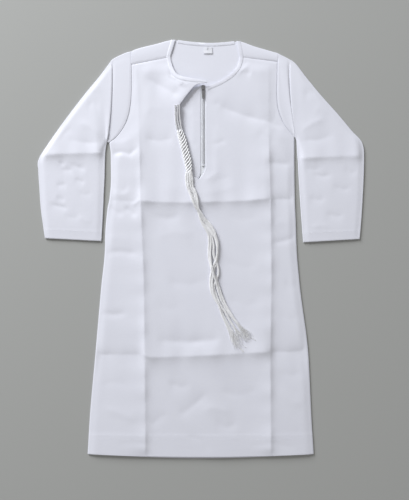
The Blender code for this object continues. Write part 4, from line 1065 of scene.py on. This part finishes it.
teeth_plastic = Finish("zip_teeth", (0.74, 0.75, 0.78), 0.42, coat_weight=0.2)
teeth_tone = teeth_plastic.noise(700.0)
teeth_plastic.set(base_color=teeth_plastic.mix(teeth_tone, (0.68, 0.69, 0.73), (0.80, 0.81, 0.85)))
teeth_plastic.set(normal=teeth_plastic.bump(teeth_plastic.noise(1500.0), 0.00003))
teeth_length = TEETH_Y[1] - TEETH_Y[0]
teeth_bm = bmesh.new()
tooth_size = Matrix.Diagonal((*(half * MM for half in TOOTH_HALF), 1.0))
lying = Matrix.Rotation(math.radians(90), 4, "Y") @ tooth_size
for number in range(int(teeth_length / TEETH_PITCH)):
    for side in (-1, 1):
        y = TEETH_Y[0] + 0.7 + TEETH_PITCH * (number + (0.5 if side > 0 else 0.0))
        place = Matrix.Translation(Vector((ZIP_X + side * TOOTH_ASIDE, y, TOOTH_LEVEL)) * MM)
        bmesh.ops.create_uvsphere(teeth_bm, u_segments=8, v_segments=5, radius=1.0, matrix=place @ lying)
for side in (-1, 1):
    middle = (ZIP_X + side * TEETH_CORD_ASIDE, sum(TEETH_Y) / 2, TOOTH_LEVEL - TEETH_CORD_BELOW)
    bmesh.ops.create_cone(
        teeth_bm, cap_ends=True, segments=8, depth=teeth_length * MM,
        radius1=TEETH_CORD_RADIUS * MM, radius2=TEETH_CORD_RADIUS * MM,
        matrix=Matrix.Translation(Vector(middle) * MM) @ Matrix.Rotation(math.radians(90), 4, "X"),
    )
zip_teeth = finished("zip_teeth", teeth_bm, teeth_plastic.material)
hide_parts("zip_chain")

cast_metal = Finish("cast_metal", (0.40, 0.40, 0.41), 0.38, metallic=1.0)
wear = cast_metal.noise(420.0, 4.0)
cast_metal.set(base_color=cast_metal.mix(wear, (0.20, 0.20, 0.21), (0.40, 0.40, 0.41)))
cast_metal.set(roughness=0.28 + wear * 0.22)
cast_metal.set(normal=cast_metal.bump(cast_metal.noise(1800.0, 3.0), 0.00002))
for node, finish in (("zip_slider", cast_metal), ("zip_pull", cast_metal), ("zip_stop", teeth_plastic)):
    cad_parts[node].data.materials.clear()
    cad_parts[node].data.materials.append(finish.material)


# Size label
# A short length of woven tape, folded double and left bare. A grey bar tack holds it at the back of
# the neck.

LABEL_X = (4.2, 20.3)
LABEL_Y = (361.1, 373.0)
LABEL_LEVEL = 1.45
LABEL_WALL = 0.4
label_tape = Finish("label_tape", (0.82, 0.83, 0.88), 0.5, sheen_weight=0.1)
label_weft = label_tape.bands("Y", 500.0)
label_tape.set(base_color=label_tape.mix(label_weft, (0.78, 0.79, 0.85), (0.85, 0.86, 0.91)))
label_tape.set(normal=label_tape.bump(label_weft, 0.00006))
label_x = np.linspace(*LABEL_X, 17)[None, :]
label_y = np.linspace(*LABEL_Y, 13)[:, None]
label_curl = 0.3 * (1 - smooth_step(0.0, 7.0, label_y - LABEL_Y[0]))
label_z = LABEL_LEVEL + label_curl + 0.2 * np.cos((label_x - 12.0) / 5.0)
label_bm = sewn_bmesh((stacked(label_x, label_y, label_z),))
label = finished("size_label_tape", label_bm, label_tape.material, LABEL_WALL)
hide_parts("size_label")


# Tassel
# White silky cord from the edge of the fly cover: three plain cords, then a flat braid, then a long
# fringe of two loose strands that twist round each other and open out at the free end.

TASSEL_LINE = (
    (-43.9, 264.6), (-43.6, 241.0), (-39.6, 218.0), (-34.4, 201.0), (-31.0, 187.0), (-27.2, 172.0),
    (-24.0, 158.0), (-22.4, 141.2), (-22.9, 120.2), (-16.2, 97.0), (-6.8, 76.0), (2.6, 57.0), (14.0, 40.0),
    (21.6, 18.0), (23.4, -10.0), (25.2, -40.0), (24.4, -66.0), (31.0, -92.0), (43.5, -115.5),
    (55.5, -134.5), (66.0, -152.5), (75.0, -171.0),
)
CORD_LENGTH = 46.0
CORD_PLACES = (-4.0, 0.1, 4.1)
CORD_THICKNESS = 3.2
CORD_PLIES = 3
CORD_PLY_SHARE = 0.52
CORD_TWIST = 5.2
# Braid: distance from the fly cover's edge, and width there
BRAID_WIDTH = (
    (44.0, 9.6), (50.0, 11.5), (60.0, 13.8), (100.0, 13.8), (116.0, 12.2), (126.0, 10.0), (132.0, 9.0),
)
BRAID_LENGTH = 80.0
BRAID_PITCH = 5.9
BRAID_SLANT = 17.0
BRAID_PLAIN_BAND = 2.6
BRAID_RIB_RADIUS = 1.32
CHEVRON_RADIUS = 0.72
# Strands of the fringe, from the braid to the free end: X and Y
STRAND_LEFT = (
    (-24.2, 146.2), (-26.0, 130.5), (-24.7, 114.8), (-19.3, 99.1), (-11.9, 81.2), (-4.0, 70.0), (3.8, 56.5),
    (16.1, 43.1), (23.3, 29.6), (28.4, 14.0), (30.0, -1.7), (28.4, -19.6), (23.3, -33.1), (19.5, -48.8),
    (18.4, -66.7), (22.4, -84.6), (31.8, -102.5), (39.0, -120.5), (47.5, -138.4), (56.5, -156.5),
    (66.0, -177.5),
)
STRAND_RIGHT = (
    (-19.7, 146.2), (-18.4, 130.5), (-17.5, 114.8), (-11.9, 103.6), (-8.1, 90.1), (-6.7, 78.9), (-2.9, 61.0),
    (3.8, 45.3), (12.8, 31.9), (16.1, 16.2), (15.2, -6.2), (16.6, -24.1), (21.1, -42.1), (26.9, -55.5),
    (30.7, -68.9), (36.3, -86.9), (43.0, -102.5), (54.2, -120.5), (66.5, -136.8), (77.5, -150.5),
    (88.5, -163.5),
)
STRAND_MIDDLE = (
    (-22.4, 146.2), (-22.0, 130.5), (-22.0, 114.8), (-16.4, 98.0), (-9.0, 81.2), (-0.7, 63.3), (8.3, 47.6),
    (17.2, 34.1), (20.6, 18.4), (23.3, 2.8), (22.8, -10.7), (30.0, -30.8), (31.8, -44.3), (28.4, -55.5),
    (23.3, -68.9), (29.6, -89.1), (36.3, -104.8), (44.1, -116.0), (54.2, -133.9), (64.5, -149.5),
    (76.0, -170.0),
)
# Each strand, the place along Y where it rides over the others, its bundles and its lean. The
# middle one lies below all the way.
STRANDS = (
    (STRAND_LEFT, 72.0, 2, 0.0), (STRAND_RIGHT, -41.0, 2, 2.1), (STRAND_MIDDLE, 999.0, 1, 4.2),
)
RIDE_OVER = 2.6
BUNDLE_RADIUS = 1.9
BUNDLE_HALF_SPACING = 1.85
BUNDLE_TWIST = 34.0
BUNDLE_THREADS = 62
THREAD_RADIUS = 0.27
THREAD_POINTS = 62
THREAD_TURN = 2.39996
FAN_FROM = 0.89
FAN_HALF = 6.5
# Single threads that lie apart at the free end: where each leaves and ends, along X and Y
LOOSE_THREADS = (
    ((80.0, -154.0), (88.0, -161.0), (93.0, -164.0), (99.5, -168.5)),
    ((81.0, -153.0), (90.0, -158.0), (95.0, -162.0), (101.0, -170.0)),
    ((65.0, -172.0), (69.0, -180.0), (73.0, -184.0), (78.7, -190.5)),
    ((66.0, -171.0), (70.5, -178.0), (74.0, -183.5), (79.4, -189.0)),
    ((64.5, -172.0), (68.0, -179.0), (72.0, -185.0), (77.8, -191.0)),
    ((72.0, -168.0), (76.0, -176.0), (79.0, -179.0), (84.0, -181.0)),
)
LOOSE_RADIUS = 0.42
LOOSE_POINTS = 14

silk = Finish("silk_thread", (0.92, 0.92, 0.93), 0.36, sheen_weight=0.25, sheen_roughness=0.3)
silk_tone = silk.noise(260.0, 3.0, silk.stretched(1.0, 0.35, 1.0))
silk.set(base_color=silk.mix(silk_tone, (0.84, 0.84, 0.85), (0.97, 0.97, 0.98)))
silk.set(roughness=0.30 + silk_tone * 0.16)
silk.set(normal=silk.bump(silk.noise(2400.0, 2.0), 0.00004))


def thread(path, radius, sides, flatness=1.0):
    """A tube round a line of points, closed at both ends, as a patch for sewn_bmesh."""
    path = np.asarray(path, float)
    forward = np.gradient(path, axis=0)
    forward /= np.linalg.norm(forward, axis=1)[:, None]
    aside = np.cross(forward, (0.0, 0.0, 1.0))
    aside /= np.linalg.norm(aside, axis=1)[:, None]
    above = np.cross(aside, forward)
    radius = np.broadcast_to(radius, len(path)).copy()
    radius[[0, -1]] = 0.0
    turn = np.linspace(0.0, math.tau, sides + 1)
    ring = (
        aside[:, None] * np.cos(turn)[None, :, None]
        + above[:, None] * np.sin(turn)[None, :, None] * flatness
    )
    return path[:, None] + ring * radius[:, None, None]


tassel_line = Line(TASSEL_LINE)
tassel_ground = Ground(front_panel, placket)
plain_length = CORD_LENGTH + BRAID_LENGTH


def bed(line, asides, times=6):
    """Height of the cloth below a line, as a function of the distance along it."""
    at = np.arange(-2.0, line.length + 12.0, 2.0)
    place, left = line.at(at)
    rows = [tassel_ground.tops(*(place + left * aside).T, 1.2) for aside in asides]
    found = softened(np.max(rows, axis=0), times) + 0.15
    return lambda distance: np.interp(distance, at, found)


rest = bed(tassel_line, (-5, -2, 1, 4))


def placed(distance, aside, height, line=tassel_line):
    """Points beside and above a line, and past its end along its last direction."""
    distance = np.asarray(distance, float)
    place, left = line.at(distance)
    ahead = np.stack((left[..., 1], -left[..., 0]), axis=-1)
    past = np.clip(distance - line.length, 0.0, None)[..., None]
    spot = place + left * np.asarray(aside)[..., None] + ahead * past
    return stacked(spot[..., 0], spot[..., 1], height)


cord_patches = []
for number, aside in enumerate(CORD_PLACES):
    for ply in range(CORD_PLIES):
        d = np.linspace(-1.0 - number, CORD_LENGTH + 5.0, 110)
        turn = d / CORD_TWIST * math.tau + ply * math.tau / CORD_PLIES + number
        gather = 1 - 0.16 * smooth_step(CORD_LENGTH - 20, CORD_LENGTH, d)
        sway = aside * gather + 0.4 * np.sin(d / 9.0 + 2 * number)
        radius = CORD_THICKNESS / 2 * CORD_PLY_SHARE
        height = rest(d) + CORD_THICKNESS / 2 + radius * np.sin(turn)
        cord_patches.append(thread(placed(d, sway + radius * np.cos(turn), height), radius * 0.98, 6))
# The cords are the same white silk as the braid and fringe. Their darker grey is painted shade from the fly
# cover's lifted edge above them.
cords_painted_shade = Finish("cords_painted_shade", (0.74, 0.74, 0.76), 0.42, sheen_weight=0.1)
cord_tone = cords_painted_shade.noise(500.0, 3.0)
cords_painted_shade.set(base_color=cords_painted_shade.mix(cord_tone, (0.64, 0.64, 0.66), (0.84, 0.84, 0.86)))
tassel_cords = finished("tassel_cords", sewn_bmesh(cord_patches), cords_painted_shade.material)

braid_patches = []
v = np.linspace(-1.0, 1.0, 19)
arch = np.sqrt(1 - (v * 0.95) ** 2)
for number in range(-1, 15):
    middle = CORD_LENGTH + BRAID_PITCH * (number + 0.5)
    d = middle - BRAID_SLANT * 0.5 * v + 1.4 * np.sin(v * math.pi)
    keep = (d > CORD_LENGTH - 1) & (d < plain_length + 5)
    aside = v * curve(BRAID_WIDTH, d) / 2
    height = rest(d) + 0.35 + 2.4 * arch
    if keep.sum() > 3:
        braid_patches.append(thread(placed(d[keep], aside[keep], height[keep]), BRAID_RIB_RADIUS, 8))
for number in range(5):
    for ply in (-1, 1):
        w = np.linspace(-1.0, 1.0, 11)
        d = CORD_LENGTH + 2.0 + BRAID_PITCH * (number + 0.5) + ply + 3.4 * w
        aside = -curve(BRAID_WIDTH, d) / 4 + 2.2 * w
        height = rest(d) + 3.0 + 0.7 * np.sqrt(1 - (w * 0.95) ** 2) - 0.25 * number
        braid_patches.append(thread(placed(d, aside, height), CHEVRON_RADIUS, 6, 0.9))
d = np.linspace(CORD_LENGTH + 2.0, plain_length - 2.0, 50)
band_aside = -curve(BRAID_WIDTH, d) / 2 + BRAID_PLAIN_BAND / 2 + 0.3 * np.sin(d / 6.0)
braid_patches.append(thread(placed(d, band_aside, rest(d) + 1.4), BRAID_PLAIN_BAND / 2, 10, 1.1))
tassel_braid = finished("tassel_braid", sewn_bmesh(braid_patches), silk.material)
# A flat dark grey tube under the braid's ribs: painted shade that shows in the grooves between them.
d = np.linspace(CORD_LENGTH - 2.0, plain_length + 6.0, 50)
shade_tube_patch = thread(placed(d, 0.0 * d, rest(d) + 1.0), curve(BRAID_WIDTH, d) / 2 - 0.9, 12, 0.2)
braid_painted_shade = Finish("braid_painted_shade", (0.52, 0.52, 0.53), 0.7)
braid_painted_shade.set(base_color=braid_painted_shade.mix(braid_painted_shade.noise(400.0), (0.44, 0.44, 0.45), (0.60, 0.60, 0.61)))
tassel_shade_tube = finished("tassel_shade_tube", sewn_bmesh((shade_tube_patch,)), braid_painted_shade.material)

fringe_patches = []
for points, over_y, bundles, lean in STRANDS:
    strand = Line(points)
    below = bed(strand, (-2, 1), 4)
    half = BUNDLE_HALF_SPACING * (bundles - 1)
    for number in range(bundles * BUNDLE_THREADS):
        bundle = number % bundles
        rank = number // bundles
        spread = math.sqrt((rank + 0.5) / BUNDLE_THREADS)
        # Two uneven shares that are each thread's own, and the same each time
        own = math.sin((number + 7 * lean) * 12.9898) * 43758.5453 % 1
        other = own * 97.31 % 1
        d = np.linspace(-9.0 * own, strand.length * (1.02 - 0.11 * other), THREAD_POINTS)
        twist = d / BUNDLE_TWIST + bundle * math.pi + lean
        roll = rank * THREAD_TURN + 0.7 * np.sin(d / 29.0 + bundle * 2.0 + lean) + own * 0.5
        reach = BUNDLE_RADIUS * (1 + 0.12 * np.sin(d / 17.0 + lean))
        gather = smooth_step(-9.0, 14.0, d)
        aside = gather * half * np.cos(twist) + (0.6 + 0.4 * gather) * reach * spread * np.cos(roll)
        fan = smooth_step(FAN_FROM, 1.0, d / strand.length)
        curl = 0.25 + (0.8 + 0.9 * other) * fan
        aside = aside + fan * FAN_HALF * (2 * own - 1) + curl * np.sin(d / (4.6 - 1.5 * other) + own * 40)
        z = 0.6 * half * (1 + np.sin(twist)) * gather * 0.6 + reach * 0.75 * (1 + spread * np.sin(roll))
        z = z * (1 - 0.5 * fan)
        path = placed(d, aside, z, strand)
        ride_over = RIDE_OVER * np.exp(-((path[:, 1] - over_y) / 15.0) ** 2)
        path[:, 2] = below(d) + THREAD_RADIUS + path[:, 2] + ride_over
        fringe_patches.append(thread(path, THREAD_RADIUS, 3))
for points in LOOSE_THREADS:
    path = Line(points)
    place, _ = path.at(np.linspace(0.0, path.length, LOOSE_POINTS))
    z = tassel_ground.tops(place[:, 0], place[:, 1], 0.6) + THREAD_RADIUS + 0.1
    z = z + np.linspace(1.0, 0.0, LOOSE_POINTS) ** 2
    fringe_patches.append(thread(stacked(place[:, 0], place[:, 1], z), LOOSE_RADIUS, 4))
tassel_fringe = finished("tassel_fringe", sewn_bmesh(fringe_patches), silk.material)
for piece in (tassel_fringe, tassel_cords, tassel_braid, tassel_shade_tube):
    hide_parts("tassel")


# Topstitching
# White polyester thread in short even stitches: two rows round the hem, one at each cuff, and rows
# along the binding, the fly cover, the zip and the placket's point.

STITCH_LENGTH = 2.0
STITCH_GAP = 0.7
STITCH_RADIUS = 0.16
HEM_ROWS = (1.0, 9.0)
HEM_ROW_INSET = 0.6
CUFF_ROW_INSET = 2.0
sewing_thread = Finish("sewing_thread", (0.86, 0.88, 0.93), 0.45, sheen_weight=0.2)
ply_lines = sewing_thread.bands("DIAGONAL", 900.0)
sewing_thread.set(base_color=sewing_thread.mix(ply_lines, (0.74, 0.76, 0.82), (0.90, 0.91, 0.95)))
sewing_thread.set(normal=sewing_thread.bump(ply_lines, 0.00003))
tack_thread = Finish("tack_thread", (0.45, 0.46, 0.49), 0.5)
tack_tone = tack_thread.noise(900.0)
tack_thread.set(base_color=tack_thread.mix(tack_tone, (0.36, 0.37, 0.40), (0.52, 0.53, 0.56)))


def stitch_rows(name, runs, cloths, finish=sewing_thread, size=(STITCH_LENGTH, STITCH_GAP, STITCH_RADIUS)):
    """Rows of stitches that lie on the cloths, each a short bead that sinks in at both ends."""
    ground = Ground(*cloths)
    length, gap, radius = size
    bm = bmesh.new()
    for points in runs:
        line = Line(points)
        count = max(int(line.length / (length + gap)), 1)
        starts = (np.arange(count) + 0.5) * line.length / count
        ends = [line.at(starts + step * length / 2)[0] for step in (-1, 1)]
        tops = [ground.tops(end[:, 0], end[:, 1]) for end in ends]
        for a, b, low, high in zip(*ends, *tops):
            if min(low, high) <= 0:
                continue
            first, last = Vector((*a, low)), Vector((*b, high))
            way = last - first
            place = Matrix.Translation((first + last) / 2 * MM)
            place = place @ way.to_track_quat("Z", "Y").to_matrix().to_4x4()
            bead = Matrix.Diagonal((radius * MM, radius * 1.3 * MM, way.length / 2 * MM, 1.0))
            bmesh.ops.create_uvsphere(bm, u_segments=6, v_segments=4, radius=1.0, matrix=place @ bead)
    finished(name, bm, finish.material)


def hem_row(y):
    """A row across the front, from just inside one edge to just inside the other."""
    left, right = (float(body_edge(side, y)) - side * HEM_ROW_INSET for side in (-1, 1))
    return [(left, y), (CENTRE_X, y), (right, y)]


def beside(points, aside, start, end):
    """A row that keeps its distance beside an edge, and starts and ends short of its two ends."""
    line = Line(points)
    distance = np.linspace(start, line.length - end, max(round(line.length / 6.0), 4))
    place, left = line.at(distance)
    return [tuple(spot) for spot in place + left * aside]


stitch_rows("hem_stitches", [hem_row(HEM_LINE_Y - below) for below in HEM_ROWS], (front_panel,))
fly_points = [(x, y) for y, x in FLY_EDGE if y < 300.0]
zip_points = [(x, y) for y, x in ZIP_EDGE if y < 292.0]
stitch_rows("front_stitches", [
    beside(zip_points, -3.0, 20.0, 2.0), beside(fly_points, 3.2, 10.0, 6.0),
    [(12.0, 160.0), (9.5, 149.0), (4.6, 135.5)], [(-14.5, 131.0), (-8.0, 130.6), (-3.5, 130.8)],
], (front_panel,))
stitch_rows("binding_stitches", [
    beside(binding_left_edge, 5.6, 3.0, 1.0), beside(binding_right_edge, -5.6, 2.0, 1.0),
    beside(binding_back_edge, -5.6, 1.0, 1.0),
], (binding_left, binding_right, binding_back))
cuff_rows = []
for table in (LEFT_SLEEVE, RIGHT_SLEEVE):
    above, cuff = (np.array(ring).reshape(2, 2) for ring in table[-2:])
    up = above - cuff
    up = up / np.hypot(*up.T)[:, None]
    outer, inner = cuff + up * (CUFF_HEM - CUFF_ROW_INSET)
    cuff_rows.append([tuple(outer), tuple((outer + inner) / 2), tuple(inner)])
stitch_rows("cuff_stitches", cuff_rows, (sleeve_left, sleeve_right))
stitch_rows("label_tack", [
    [(x, LABEL_Y[0] + 6.0), (x, LABEL_Y[0] + 9.0), (x, LABEL_Y[0] + 11.4)] for x in (11.3, 11.9, 12.5)
], (label,), tack_thread, (1.2, 0.1, 0.24))
